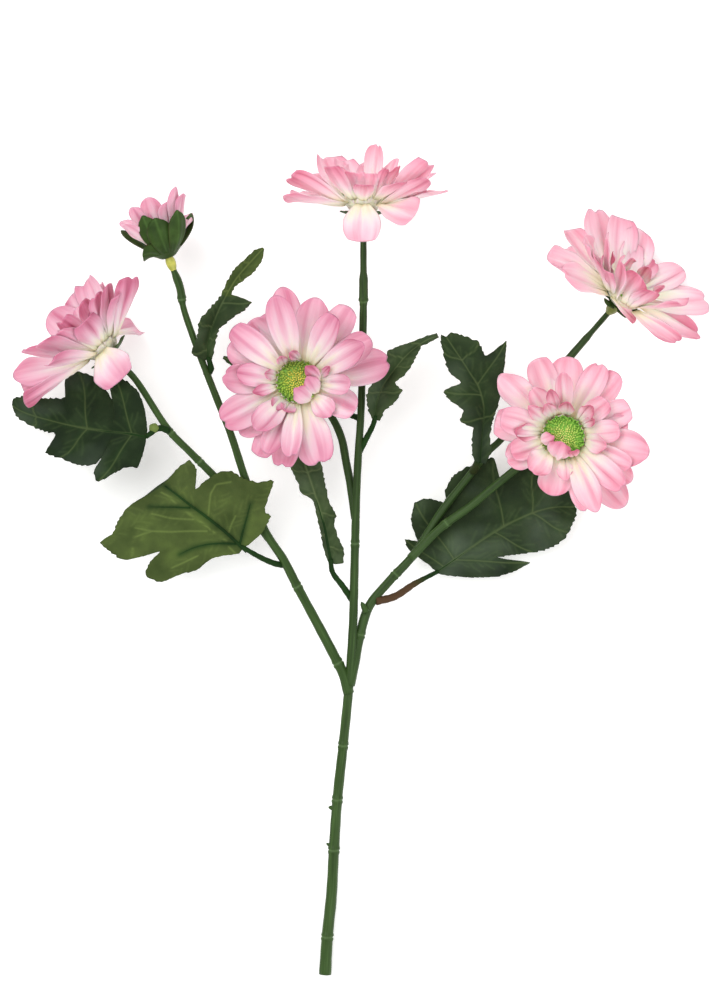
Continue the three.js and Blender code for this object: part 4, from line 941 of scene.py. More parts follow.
# `rib` is the midrib; each row of `outline` holds a share of it, then the point of the edge on the
# left half and on the right half, each with how far it lies above the midrib. `veins` has the rows
# of the outline that a main side vein runs to, on the left half and on the right half.
LEAVES = [{
    "name": "leaf_left_upper", "tone": 0.0, "stalk_radius": 1.3, "veins": ([4, 9, 13], [4, 9, 13]),
    "stalk": [(-80.6, 55, 27), (-84.6, 56, 29), (-89.9, 52.4, 31.3)],
    "rib": [
        (-89.7, 52.3, 31.3), (-97.2, 53.6, 31.5), (-107.7, 54.8, 28.5), (-117, 56.1, 25),
        (-129.6, 59, 20.5), (-143, 63.2, 16), (-147.4, 65.9, 14.5),
    ],
    "outline": [
        (0, -90.1, 50.6, 0, -89.5, 54.8, 0), (0.04, -91.8, 43.9, -0.5, -90.7, 64.5, 0.9),
        (0.06, -93.6, 39.7, -1, -93.4, 71.2, 1.5), (0.08, -98.9, 39.7, -1, -98.1, 75.4, 1.7),
        (0.1, -109.8, 33.8, -2, -103.1, 77.9, 1.7), (0.12, -111.7, 38.4, -2, -105.4, 74.1, 1.3),
        (0.25, -104.1, 49.4, -0.5, -101.6, 63.2, 0.6), (0.32, -111.5, 41, -1.5, -106.5, 71.2, -3),
        (0.37, -119.1, 40.7, -2, -110.7, 76.7, -5.5), (0.42, -126.2, 43.7, -2, -118.6, 79.6, -6),
        (0.48, -132.7, 46, -2, -124.7, 76.2, -4.5), (0.58, -128, 53.6, -0.5, -124.3, 68.7, -2),
        (0.69, -132.9, 55, -0.5, -133.8, 68.5, -1.5), (0.8, -138.5, 57.1, -0.5, -141.7, 69.3, -1),
        (0.92, -144.9, 61.1, 0, -146.4, 68.7, 0), (1, -147.3, 65.5, 0, -147.4, 67, 0),
    ],
}, {
    "name": "leaf_left_lower", "tone": 0.5, "stalk_radius": 1.2, "veins": ([5, 12, 14], [6, 9, 14]),
    "stalk": [(-32.6, -1.6, 18.2), (-36, -1, 21.5), (-42, 1.6, 25), (-50, 6.2, 27.2)],
    "rib": [(-49.3, 5.5, 27), (-59.8, 14.5, 30), (-69.1, 22.1, 31.5), (-77.5, 28.1, 30.5), (-85, 32.1, 28)],
    "outline": [
        (0, -51, 3.2, -0.5, -47.2, 6.9, -0.5), (0.05, -57.7, 2.5, -1, -42.2, 11.1, -1),
        (0.09, -62.6, 1.1, -1.5, -39.9, 14.9, -1.5), (0.13, -68.7, -3.6, -2.5, -38, 19.2, -2),
        (0.17, -74.7, -5, -3, -40.7, 21.2, -2), (0.21, -83.8, -8.6, -4, -37, 32.1, -3),
        (0.25, -90.3, -5.9, -4, -37.2, 34, -3), (0.29, -88.4, -0.2, -3, -43.9, 33, -2.5),
        (0.35, -84, 4.2, -2, -49.3, 34.7, -2), (0.41, -90.9, 2.3, -3, -54.4, 37.8, -2.5),
        (0.47, -98.9, 0.6, -4, -59.8, 37.2, -2), (0.53, -103.7, 3.2, -4.5, -65.7, 33.4, -1.5),
        (0.61, -109.4, 7.9, -5, -69.5, 29.7, -1), (0.69, -103.7, 12, -3.5, -68.9, 38.4, -2),
        (0.78, -101.8, 17, -2.5, -71.9, 42.2, -2), (0.88, -98.1, 22.5, -2, -77.1, 38.6, -1.5),
        (1, -92.6, 26.5, -1, -80.4, 35.1, -1),
    ],
}, {
    "name": "leaf_bud", "tone": 0.45, "stalk_radius": 1.3, "veins": ([1, 3, 8, 11], [2, 6, 10]),
    "stalk": [(-65.2, 78.4, 25.8), (-62.8, 80.4, 27.4), (-63.2, 83, 28.4), (-64, 86, 29.2)],
    "rib": [
        (-64, 84.6, 29), (-63.8, 93, 30.5), (-59.8, 104.8, 32), (-56.3, 111.5, 33), (-51.9, 118.7, 34),
        (-40.7, 131.5, 33),
    ],
    "outline": [
        (0, -65.5, 84.6, 0, -62.4, 84.6, 0), (0.08, -70.8, 87.4, 2, -61.5, 89.3, 2),
        (0.17, -68.2, 93.5, 3, -60.5, 93.9, 2), (0.26, -67.4, 100.6, 3, -59.2, 97.7, 2),
        (0.34, -64.9, 104, 2, -53.5, 102.3, 4), (0.41, -62.4, 106.7, 1, -49.3, 104.8, 5),
        (0.46, -59.8, 109.6, 0, -46, 108.6, 5), (0.51, -58.4, 111.5, 0, -51, 110.9, 3),
        (0.57, -57.3, 114, -1, -54.4, 111.9, 1), (0.63, -55.3, 118.2, -2, -52.9, 115.5, 1),
        (0.71, -52.9, 122.2, -2, -49.3, 117.8, 2), (0.83, -48.1, 127.1, -2, -45.1, 121.2, 2),
        (0.93, -44.1, 130.6, -1, -41.6, 126, 1), (1, -41.2, 131.8, 0, -40.3, 131, 0),
    ],
}, {
    "name": "leaf_centre", "tone": 0.75, "stalk_radius": 1.25, "veins": ([3, 7, 9], [2, 5, 9]),
    "stalk": [(-3.6, -16.2, 17.4), (-7.6, -10.4, 19), (-11.8, -4.6, 20.8), (-12.6, 1, 22.4)],
    "rib": [
        (-12.4, -0.6, 22), (-13.6, 6.5, 24), (-15.5, 16.2, 25), (-19.3, 28.8, 25.5), (-25.8, 47.7, 25.5),
    ],
    "outline": [
        (0, -13.6, -0.6, -1, -10.7, -1.3, -1), (0.06, -14.5, 2.7, -3, -7.6, -0.6, -4),
        (0.14, -15.5, 6.5, -3, -7.3, 5.3, -5), (0.24, -16.6, 12, -3, -9.9, 10.3, -4),
        (0.34, -17.6, 17.4, -3, -11.1, 15.8, -4), (0.43, -18.5, 21.2, -3, -10.4, 19.7, -5),
        (0.52, -20.2, 25.8, -3, -13.4, 24.6, -4), (0.6, -25, 28.8, -5, -14.5, 29.2, -4),
        (0.69, -25.8, 32.1, -4, -15.3, 33.8, -4), (0.78, -29.6, 39.7, -5, -16.4, 40.5, -4),
        (0.9, -27.9, 43.5, -3, -18.7, 44.7, -3), (1, -26.7, 48.5, -0.5, -25, 48.1, -0.5),
    ],
}, {
    "name": "leaf_behind_centre", "tone": 0.3, "stalk_radius": 1.2, "veins": ([2, 4], [2, 4]),
    "stalk": [(0, 60, 24.6), (-4.6, 61.8, 22), (-10, 64.3, 20)],
    "rib": [(-9.4, 64.1, 20), (-24.6, 71.2, 20.5), (-39.7, 77.5, 22.5), (-57.7, 85.9, 27)],
    "outline": [
        (0, -10.3, 62.8, 0, -9.4, 65.7, 0), (0.14, -20.4, 61.1, 1, -17, 74.6, 1),
        (0.3, -28.3, 63.6, 1.5, -24.1, 79.2, 1.5), (0.46, -37.2, 67, 1.5, -33.4, 81.3, 1.5),
        (0.62, -43.9, 72.5, 1, -41.8, 83, 1), (0.82, -50.6, 79.6, 0.5, -49.3, 84.6, 0.5),
        (1, -58, 85.3, 0, -57.5, 86.5, 0),
    ],
}, {
    "name": "leaf_middle", "tone": 0.6, "stalk_radius": 1.25, "veins": ([3, 7, 9], [3, 6, 9]),
    "stalk": [(-0.8, 45.6, 23.4), (2.6, 52, 26), (5.4, 57.6, 28.2), (6.4, 61.4, 29.2)],
    "rib": [
        (6.3, 59.4, 29), (6.9, 67, 30), (9.5, 73.7, 30.5), (14.1, 80.4, 30.5), (20, 87.2, 30),
        (27.5, 92.8, 29), (32.6, 94.9, 27.5),
    ],
    "outline": [
        (0, 4.8, 59.9, 0, 8.2, 59, 0), (0.08, 3.6, 63.6, 2, 9.9, 63.2, 2),
        (0.17, 2.7, 68.3, 3, 14.1, 66.8, 4), (0.25, 3.4, 71.4, 3, 17.2, 71.6, 5),
        (0.33, 5.7, 75.8, 2, 14.3, 74.8, 2), (0.42, 8.2, 79.2, 2, 18.3, 78.1, 4),
        (0.52, 10.3, 83.4, 3, 21.2, 82.1, 3), (0.62, 11.6, 88, 4, 23.3, 85.9, 2),
        (0.72, 16.2, 90.3, 2, 24.8, 88.6, 2), (0.82, 21.6, 92.2, 1, 25.4, 90.7, 1),
        (0.92, 27.1, 94.3, 0, 28.4, 91.8, 1), (1, 32.1, 96, 0, 33, 94.1, 0),
    ],
}, {
    "name": "leaf_right_upper", "tone": 0.25, "stalk_radius": 1.5, "veins": ([4, 7, 12], [4, 9, 12]),
    "stalk": [(47.6, 38, 16.6), (48.9, 41, 23), (50.2, 44.6, 28.9)],
    "rib": [
        (50.2, 41.4, 28.5), (51, 52.3, 30), (51.9, 63.6, 31.5), (50.2, 71.6, 32.5), (45.6, 79.6, 33.2),
        (35.9, 94.3, 33),
    ],
    "outline": [
        (0, 47.9, 42.2, 2, 52.7, 41, 2), (0.09, 46.8, 46, 3, 54.4, 46, 3), (0.19, 47, 52.7, 3, 54, 52.3, 3),
        (0.27, 47.7, 56.1, 2, 55.2, 57.8, 3), (0.33, 42, 58.8, 2, 56.5, 62.4, 3.5),
        (0.39, 43.3, 63.6, 2, 58, 67.8, 4), (0.45, 37.8, 67.6, 2, 58.8, 74.1, 5),
        (0.5, 35, 71.4, 1, 59.9, 79.6, 6), (0.54, 38.9, 73.5, 1, 60.7, 86.7, 7),
        (0.58, 42.6, 75, 0.5, 60.9, 91.9, 7.5), (0.63, 37.8, 78.8, 1, 57.1, 89.2, 6),
        (0.7, 36.1, 83, 1, 52.3, 86.1, 3), (0.79, 34.9, 87.6, 1, 49.4, 91.6, 2.5),
        (0.9, 33.8, 91.8, 0, 43.5, 94.3, 1), (1, 33.7, 95.3, 0, 38, 96.2, 0),
    ],
}, {
    "name": "leaf_right_lower", "tone": 0.2, "stalk_radius": 1.15, "veins": ([3, 7, 13, 16], [7, 12, 16]),
    "stalk": [(6.6, -17, 15.8), (14.5, -15, 12.6), (23, -9.6, 10.2), (32.9, -4.4, 9.6)],
    "rib": [
        (32.1, -4.8, 9.5), (41, 1.3, 10), (51.9, 9, 10.6), (65.3, 17, 11), (79.6, 22.3, 11),
        (90.9, 22.9, 10),
    ],
    "outline": [
        (0, 30.9, -3.1, 0, 33.4, -5.5, 0), (0.02, 27.9, -0.2, 0.4, 36.8, -5.9, 0.4),
        (0.04, 20.8, 4.4, 1, 41.4, -6.5, 0.8), (0.06, 19.1, 9, 1.2, 46.6, -6.9, 1),
        (0.08, 24.2, 8.4, 1, 52.3, -6.9, 1.2), (0.1, 22.3, 13.7, 1.2, 58, -6.5, 1.5),
        (0.12, 21.6, 17.9, 1.4, 65.3, -4.2, 1.8), (0.14, 23.2, 24.6, 1.5, 71.6, -0.6, 2),
        (0.16, 29.2, 26.3, 1.2, 66.6, 0.2, 1.5), (0.3, 35.9, 24.6, 1, 57.1, 1.5, 0.8),
        (0.35, 36.1, 30, 1.2, 61.5, 2.3, 0.8), (0.4, 39.5, 36.1, 1.5, 67.6, 3, 0.8),
        (0.45, 46.8, 40.1, 1.5, 72.5, 3.8, 1), (0.52, 56.3, 43.5, 1.5, 77.3, 4.7, 1),
        (0.59, 58.8, 35.3, 0.8, 80.9, 6.1, 1), (0.65, 66.2, 37.8, 0.8, 84.2, 8, 1),
        (0.72, 74.1, 39.7, 0.8, 87.8, 12, 1), (0.81, 81.7, 35.9, 0.6, 90.1, 17, 0.6),
        (0.91, 87.6, 30, 0.3, 91.4, 20.8, 0.3), (1, 90.7, 24.6, 0, 91.6, 22.1, 0),
    ],
}]

# The leaf that lies with its underside up: its ribs (points seen from above, the radius at both ends)
# and its brighter veins.
FLIPPED_LEAF = "leaf_left_lower"
UNDERSIDE_RIBS = [
    ([
        (-47.8, 4), (-51, 7), (-56.9, 12.5), (-64.9, 18.9), (-71.8, 23.9), (-76.8, 27.8), (-82, 31.6),
    ], 0.75, 0.4),
    ([(-50.8, 7.2), (-49.6, 12), (-47.7, 18.8), (-46.2, 24.6)], 0.55, 0.16),
    ([(-52.4, 7.4), (-57.9, 7.6), (-64, 7.2), (-69.9, 5.8), (-76, 3)], 0.5, 0.14),
    ([(-71.4, 22.6), (-80, 22.8), (-88.6, 22.9)], 0.45, 0.14),
]
UNDERSIDE_VEINS = [
    [(-56.4, 8.6), (-62.9, 13.2), (-69.3, 18.6), (-74.8, 21.6)],
    [(-64.4, 12.7), (-71.8, 12.7), (-79.7, 12.4), (-87.6, 12.7), (-94.6, 14.1)],
    [(-87.6, 12.7), (-92.1, 11.2), (-95.1, 10.2)], [(-70.3, 17.6), (-79.7, 18.1), (-87.6, 20.1)],
    [(-77.7, 24), (-79.7, 27), (-83.7, 29)], [(-63.9, 19.1), (-63.4, 24.5), (-62.9, 28.5), (-60.9, 32)],
    [(-55.4, 12.1), (-54.4, 15.1), (-52.5, 19.1)], [(-96.1, 2.3), (-95.6, 5.7)], [(-55.4, 6.2), (-52, 2.7)],
    [(-68.4, 2.3), (-79.2, -2.7)], [(-60.4, 32.4), (-54.5, 33.4)],
]

# The row of the outline past which a leaf is turned over and shows its other side.
TURNED_FROM = {"leaf_left_lower": 15.7, "leaf_bud": 7.2}

# How brown a stalk is, and how much thicker, near the stem.
BROWN_STALKS = {"leaf_right_lower": (1.0, 0.3), "leaf_right_upper": (0.25, 0.0)}

Surface = namedtuple("Surface", "grid row across share")


def softened(points, steps):
    """Edge points between the listed ones, half way between a straight and a smooth line."""
    out = []
    for (a, b, c, d), count in zip(stretches(points), steps):
        s = np.linspace(0, 1, count, endpoint=False)[:, None]
        out.append(lerp(lerp(b, c, s), cubic(b, c, (c - a) / 2, (d - b) / 2, s), 0.5))
    return np.vstack([*out, points[-1:]])


def toothed(edge, middle, seed):
    """Pushes the edge out into small forward-pointing teeth."""
    run = running_length(edge)
    phase = run / TOOTH_PITCH + draw(seed) + 0.35 * np.sin(run * 0.41 + seed)
    part = phase - np.floor(phase)
    tooth = np.minimum(part / TOOTH_BACK, (1 - part) / (1 - TOOTH_BACK))
    depth = np.array([TOOTH_DEPTH * lerp(0.4, 1.25, draw(seed + math.floor(k))) for k in phase])
    ends = np.minimum(smooth(0, 4, run), smooth(0, 4, run[-1] - run))
    return edge + unit(edge - middle) * (tooth * depth * ends)[:, None]


def leaf_surface(leaf, seed):
    """The leaf's middle surface from the right edge to the left one: its points, the row number and
    the share of the midrib of each row, and the share across (negative on the right) of each column."""
    rib = Curve(leaf["rib"])
    rows = np.array(leaf["outline"], float)
    halves = rows[:, 1:4], rows[:, 4:7]
    spans = np.maximum(*[np.linalg.norm(np.diff(half[:, :2], axis=0), axis=1) for half in halves])
    steps = [int(np.clip(math.ceil(span / LEAF_EDGE_STEP), 3, 15)) for span in spans]
    row = np.concatenate([i + np.arange(n) / n for i, n in enumerate(steps)] + [[len(steps)]])
    share = np.interp(row, np.arange(len(rows)), rows[:, 0])
    middle = rib.at(share * rib.length)
    heights = np.interp(rows[:, 0], share, middle[:, 2])
    edges = []
    for k, half in enumerate(halves):
        solid = np.column_stack([half[:, :2], heights + half[:, 2]])
        edges.append(toothed(softened(solid, steps), middle, seed + k + 1))
    widest = max(np.linalg.norm(edge - middle, axis=1).max() for edge in edges)
    columns = int(np.clip(widest / LEAF_COLUMN_STEP, 18, 44))
    v = np.linspace(0, 1, columns) ** 0.9
    left, right = [middle[:, None] + (edge - middle)[:, None] * v[:, None] for edge in edges]
    grid = np.concatenate([right[:, :0:-1], left], axis=1)
    return Surface(grid, row, np.concatenate([-v[:0:-1], v]), share)


def grid_point(surface, r, v):
    """The points of the surface at row numbers r and shares v across."""
    grid, row, across, _ = surface
    r, v = np.broadcast_arrays(r, v)
    i = np.interp(r, row, np.arange(len(row)))
    j = np.interp(v, across, np.arange(len(across)))
    i0, j0 = np.minimum(i.astype(int), len(row) - 2), np.minimum(j.astype(int), len(across) - 2)
    a, b = (i - i0)[:, None], (j - j0)[:, None]
    near = lerp(grid[i0, j0], grid[i0, j0 + 1], b)
    return lerp(near, lerp(grid[i0 + 1, j0], grid[i0 + 1, j0 + 1], b), a)


def main_veins(leaf, surface):
    """The midrib and the main side veins, seen from above."""
    last = len(leaf["outline"]) - 1
    s = np.linspace(0, 1, MAIN_VEIN_STEPS)
    paths = [grid_point(surface, np.linspace(0, last, MIDRIB_STEPS), 0)[:, :2]]
    for side, ends in zip((1, -1), leaf["veins"]):
        for end in ends:
            r = np.clip(end - 0.5 * np.sin(math.pi * s) * (s - 0.25), 0, last)
            paths.append(grid_point(surface, r, side * 0.97 * s)[:, :2])
    return paths


def side_veins(path, seed):
    """Fine veins that leave a main vein on both sides and curve towards its tip."""
    run = running_length(path)
    count = int(run[-1] / SIDE_VEIN_PITCH)
    s = np.linspace(0, 1, FINE_VEIN_STEPS)
    veins = []
    for n in range(count):
        for side in (1, -1):
            key = seed + 5 * n + side
            if draw(key + 0.8) < SIDE_VEINS_LEFT_OUT:
                continue
            at = (n + 0.6 + 0.25 * side + jitter(key, 0.2)) / (count + 0.4) * run[-1]
            start, ahead = [np.array([np.interp(d, run, line) for line in path.T]) for d in (at, at + 1.5)]
            leaning = side * math.radians(SIDE_VEIN_LEAN + jitter(key + 0.3, 10)) * (1 - 0.5 * s)
            heading = math.atan2(*(ahead - start)[::-1]) + leaning
            size = lerp(4, 11, draw(key + 0.6)) * (1 - 0.4 * at / run[-1])
            steps = np.stack([np.cos(heading), np.sin(heading)], axis=-1) * size / FINE_VEIN_STEPS
            veins.append(start + np.cumsum(steps, axis=0) - steps[0])
    return veins


def distance_to_path(points, path):
    """The distance of each point to a line through the path's points."""
    best = np.full(len(points), 1e9)
    for start, way in zip(path, np.diff(path, axis=0)):
        s = np.clip((points - start) @ way / max((way * way).sum(), 1e-9), 0, 1)
        best = np.minimum(best, np.linalg.norm(points - start - s[:, None] * way, axis=1))
    return best


def nearest(points, paths, reach):
    """How far each point is, seen from above, from the closest of the paths (or `reach`)."""
    best = np.full(len(points), reach)
    for path in paths:
        close = ((points > path.min(0) - reach) & (points < path.max(0) + reach)).all(1)
        best[close] = np.minimum(best[close], distance_to_path(points[close], path))
    return best


def vein_fields(leaf, surface, seed):
    """How much of a vein each point is, and how far the closest main vein or rib is."""
    shape = surface.grid.shape[:2]
    points = surface.grid.reshape(-1, 3)[:, :2]
    main = main_veins(leaf, surface)
    fine = [vein for k, path in enumerate(main) for vein in side_veins(path, 40 * seed + 7 * k)]
    bright, strength = main, 0.5
    if leaf["name"] == FLIPPED_LEAF:
        main = [np.array(path) for path, _, _ in UNDERSIDE_RIBS]
        bright, strength = [np.array(path) for path in UNDERSIDE_VEINS], 0.42
    vein = 0.12 * bell(nearest(points, fine, VEIN_REACH), 0.45)
    vein = np.maximum(vein, strength * bell(nearest(points, bright, VEIN_REACH), 0.36))
    return vein.reshape(shape), nearest(points, main, RIB_REACH).reshape(shape)


def leaf_body(leaf, seed):
    flipped = leaf["name"] == FLIPPED_LEAF
    surface = leaf_surface(leaf, seed)
    grid, row, across, share = surface
    vein, main = vein_fields(leaf, surface, seed)
    normals = surface_normals(grid)
    side = np.abs(across)
    quilt = QUILT_HEIGHT * (1 - bell(np.minimum(main, 6), 2.6)) * (1 - side ** 4)
    wave = np.sin(grid[..., 0] * 0.37 + seed) * np.sin(grid[..., 1] * 0.31 + 2 * seed) * side
    groove = GROOVE_DEPTH * vein
    lift = (groove - 0.6 * quilt if flipped else quilt - groove) + WAVE_HEIGHT * wave
    shaped = grid + normals * lift[..., None]
    # Painted shade: the blade is darkened in a band beside the midrib and the main ribs.
    painted_rib_shade = bell(main, 1.3) * (0.75 if flipped else 0.45 * (1 - vein))
    turned_from = TURNED_FROM.get(leaf["name"], len(row))
    turned = smooth(turned_from - 0.1, turned_from + 0.1, row)[:, None]
    shows_back = 1 - turned if flipped else turned
    place = triple(share[:, None], across, leaf["tone"])
    body = Body()
    top, under = triple(vein, painted_rib_shade, shows_back), triple(vein, painted_rib_shade, 1 - shows_back)
    add_sheet(body, shaped, LEAF_HALF_THICKNESS, place, top, under)
    add_stalk(body, leaf)
    if flipped:
        add_underside_ribs(body, shaped + normals * 0.1)
    else:
        add_leaf_ribs(body, leaf, surface._replace(grid=shaped - normals * RIB_SINK))
    return body


def add_rib(body, path, wide, slim):
    curve = Curve(path, 6)
    d = np.linspace(0, curve.length, max(6, int(curve.length / 1.5)))
    mark = np.tile((0.0, 1.0, 0.5), (len(d), 1))
    add_tube(body, curve, d, lerp(wide, slim, d / curve.length), RIB_SIDES, mark)


def add_stalk(body, leaf):
    stalk = Curve(leaf["stalk"])
    d = np.linspace(0, stalk.length, max(8, int(stalk.length / 1.2)))
    share = d / stalk.length
    brown, swell = BROWN_STALKS.get(leaf["name"], (0, 0))
    near_stem = 1 - smooth(0.5, 0.85, share)
    radii = leaf["stalk_radius"] * lerp(1.15, 0.8, share) * (1 + 0.05 * np.sin(d * 1.7))
    add_tube(body, stalk, d, radii * (1 + swell * near_stem), STALK_SIDES, triple(brown * near_stem, 1, 0))


def add_leaf_ribs(body, leaf, surface):
    """The raised ribs below the leaf that its stalk runs out into."""
    r = np.linspace(0, (len(leaf["outline"]) - 1) * 0.86, 16)
    add_rib(body, grid_point(surface, r, 0), leaf["stalk_radius"] * 0.62, 0.22)
    for way, ends in zip((1, -1), leaf["veins"]):
        for end in ends[:2]:
            add_rib(body, grid_point(surface, end, way * np.linspace(0, 0.55, 8)), 0.42, 0.14)


def add_underside_ribs(body, surface):
    """The thick ribs on the leaf that lies with its underside up, laid on its surface."""
    surface = surface.reshape(-1, 3)
    for path, wide, slim in UNDERSIDE_RIBS:
        points = []
        for x, y in path:
            near = np.argsort((surface[:, 0] - x) ** 2 + (surface[:, 1] - y) ** 2)[:4]
            points.append((x, y, surface[near, 2].mean()))
        add_rib(body, points, wide, slim)


def add_knob(body, centre):
    """The small green side bud beside the upper left leaf."""
    profile = [(0, -2.0), (1.1, -1.8), (1.9, -0.8), (2.1, 0.3), (1.6, 1.4), (0.7, 2.1), (0, 2.3)]
    add_lathe(body, rounded(profile, 4), 24, (0.75, 0, 1.0), 0.05, 5, centre=centre)


def build_leaves(looks):
    for i, leaf in enumerate(LEAVES):
        name = leaf["name"]
        body = leaf_body(leaf, 3 + i)
        if name == "leaf_left_upper":
            add_knob(body, (-86.8, 56, 29.8))
        slot = "leaf_underside" if name == FLIPPED_LEAF else "leaf"
        body.build(f"fine_{name}", name, slot, looks["leaf"])


# ---------------------------------------------------------------- materials

def colour(code):
    """A linear colour from a hex code."""
    parts = [int(code[k:k + 2], 16) / 255 for k in (0, 2, 4)]
    return (*[c / 12.92 if c <= 0.04045 else ((c + 0.055) / 1.055) ** 2.4 for c in parts], 1)


class Output:
    """An output of a material's node; arithmetic with it adds math nodes."""

    def __init__(self, shader, socket):
        self.shader = shader
        self.socket = socket

    def math(self, operation, other=0.0):
        return self.shader.node("ShaderNodeMath", {0: self, 1: other}, operation=operation)

    def __add__(self, other):
        return self.math("ADD", other)

    def __sub__(self, other):
        return self.math("SUBTRACT", other)

    def __rsub__(self, other):
        return self.shader.node("ShaderNodeMath", {0: other, 1: self}, operation="SUBTRACT")

    def __mul__(self, other):
        return self.math("MULTIPLY", other)

    def __pow__(self, other):
        return self.math("POWER", other)

    def __abs__(self):
        return self.math("ABSOLUTE")

    def clamped(self):
        """The same value, kept between 0 and 1."""
        self.socket.node.use_clamp = True
        return self


class Shader:
    """One material, built with short calls."""

    def __init__(self, name, roughness, **constants):
        self.material = bpy.data.materials.new(name)
        self.material.use_nodes = True
        self.tree = self.material.node_tree
        self.surface = self.tree.nodes["Principled BSDF"]
        self.surface.inputs["Roughness"].default_value = roughness
        for label, value in constants.items():
            self.surface.inputs[label.replace("_", " ")].default_value = value

    def feed(self, socket, value):
        if isinstance(value, Output):
            self.tree.links.new(value.socket, socket)
        else:
            socket.default_value = value

    def node(self, kind, inputs, output=0, **settings):
        """Adds a node and gives one of its outputs."""
        node = self.tree.nodes.new(kind)
        for key, value in settings.items():
            setattr(node, key, value)
        for key, value in inputs.items():
            self.feed(node.inputs[key], value)
        return Output(self, node.outputs[output])

    def split(self, attribute):
        """The three values that a piece's points carry under a name."""
        vector = self.node("ShaderNodeAttribute", {}, "Vector", attribute_name=attribute)
        first = self.node("ShaderNodeSeparateXYZ", {0: vector})
        return [Output(self, output) for output in first.socket.node.outputs]

    def combine(self, x, y, z):
        return self.node("ShaderNodeCombineXYZ", {0: x, 1: y, 2: z})

    def object_place(self):
        return self.node("ShaderNodeTexCoord", {}, "Object")

    def noise(self, vector, scale, detail=2.0):
        inputs = {"Vector": vector, "Scale": scale, "Detail": detail}
        return self.node("ShaderNodeTexNoise", inputs, "Fac")

    def ramp(self, value, *stops):
        shade = self.node("ShaderNodeValToRGB", {"Fac": value}, "Color")
        elements = shade.socket.node.color_ramp.elements
        while len(elements) < len(stops):
            elements.new(0.5)
        for element, (at, code) in zip(elements, stops):
            element.position = at
            element.color = colour(code)
        return shade

    def mix(self, share, a, b):
        return self.node("ShaderNodeMix", {0: share, 6: a, 7: b}, 2, data_type="RGBA")

    def finish(self, paint, gloss=None, bump=None):
        """Joins the colour, the roughness and the bumps (height, strength, distance) to the surface."""
        self.feed(self.surface.inputs["Base Color"], paint)
        if gloss:
            self.feed(self.surface.inputs["Roughness"], gloss)
        if bump:
            inputs = dict(zip(("Height", "Strength", "Distance"), bump))
            self.feed(self.surface.inputs["Normal"], self.node("ShaderNodeBump", inputs, "Normal"))
        return self.material


ROSE_PINK = [
    (0.0, "f3ead2"), (0.16, "f5e4dd"), (0.36, "f4d0d8"), (0.58, "efb6c5"), (0.8, "e294aa"), (1.0, "c86883"),
]
MAUVE_PINK = [
    (0.0, "ece2cc"), (0.16, "eddad8"), (0.36, "e8c1cd"), (0.58, "dfa4b8"), (0.8, "cf809c"), (1.0, "b65b7a"),
]


def petal_look(name, stops):
    s = Shader(name, 0.62, Subsurface_Weight=0.22, Subsurface_Scale=0.0016, Sheen_Weight=0.12,
               Subsurface_Radius=(1.0, 0.45, 0.5))
    t, u, seed = s.split("place")
    depth, back, folds = s.split("mark")
    streak = s.noise(s.combine(u * 5.0, t * 0.8, seed * 41.0), 1.0, 3.0) - 0.5
    broad = s.noise(s.combine(u, t, seed * 17.0), 1.6, 1.0) - 0.5
    pink = (t - 0.2) * 0.78 + streak * 0.34 + broad * 0.36 + abs(u) ** 3.0 * 0.08
    # Channels are deeper pink and ridges paler: partly the petal's own streaks, partly painted shade in the
    # creases and painted highlight on the ridges.
    pink = pink - folds.math("MAXIMUM") * 0.16 - folds.math("MINIMUM") * 0.42
    # Painted shade: the back face of a petal is a little deeper pink towards its tip. `depth` is the petal's
    # own depth of colour.
    pink = (pink + depth * (t * 0.5) + back * (t * 0.12)).clamped()
    # Near its root a petal turns greenish cream, its own colour, darkened to khaki as painted shade in the
    # hollow round the disc.
    base = (1.0 - t * 7.0).clamped()
    paint = s.mix(base * 0.7, s.ramp(pink, *stops), colour("b9b56c"))
    fine = s.noise(s.combine(u * 26.0, t * 3.0, seed), 1.0)
    return s.finish(paint, fine * 0.2 + 0.5, (fine, 0.25, 0.0004))


def leaf_look():
    s = Shader("leaf_cloth", 0.65, Specular_IOR_Level=0.08)
    tone = s.split("place")[2]
    vein, rib, under = s.split("mark")
    where = s.object_place()
    mottle = s.noise(where, 90.0, 4.0)
    fibre = s.noise(where, 900.0)
    dark = s.ramp(mottle, (0.25, "131f12"), (0.5, "1d2b17"), (0.78, "2b3b22"))
    light = s.ramp(mottle, (0.25, "33402a"), (0.5, "435334"), (0.78, "566642"))
    below = s.ramp(mottle, (0.25, "36441f"), (0.5, "435128"), (0.78, "536430"))
    blade = s.mix(tone, dark, light)
    # Painted sheen: soft patches mixed towards a pale grey-green, like light caught by the cloth.
    painted_sheen = ((s.noise(where, 42.0) - 0.5) * 4.0).clamped()
    blade = s.mix(painted_sheen * 0.14, blade, colour("8c9c8c"))
    blade = s.mix(under, blade, below)
    thread = s.mix(under, s.mix(tone, colour("5d7545"), colour("7f9463")), colour("7d914c"))
    blade = s.mix((vein * 0.8).clamped(), blade, thread)
    ribs = s.ramp(mottle, (0.3, "14290f"), (0.7, "203c18"))
    ribs = s.mix(vein, ribs, colour("4f3b29"))
    bump = (fibre * 0.5 + mottle * 0.8, 0.35, 0.0006)
    # The mark's second value mixes in the dark rib green: 1 on the ribs, their own colour, and less on the
    # blade beside them, where it is painted shade.
    return s.finish(s.mix(rib, blade, ribs), fibre * 0.25 + 0.5, bump)


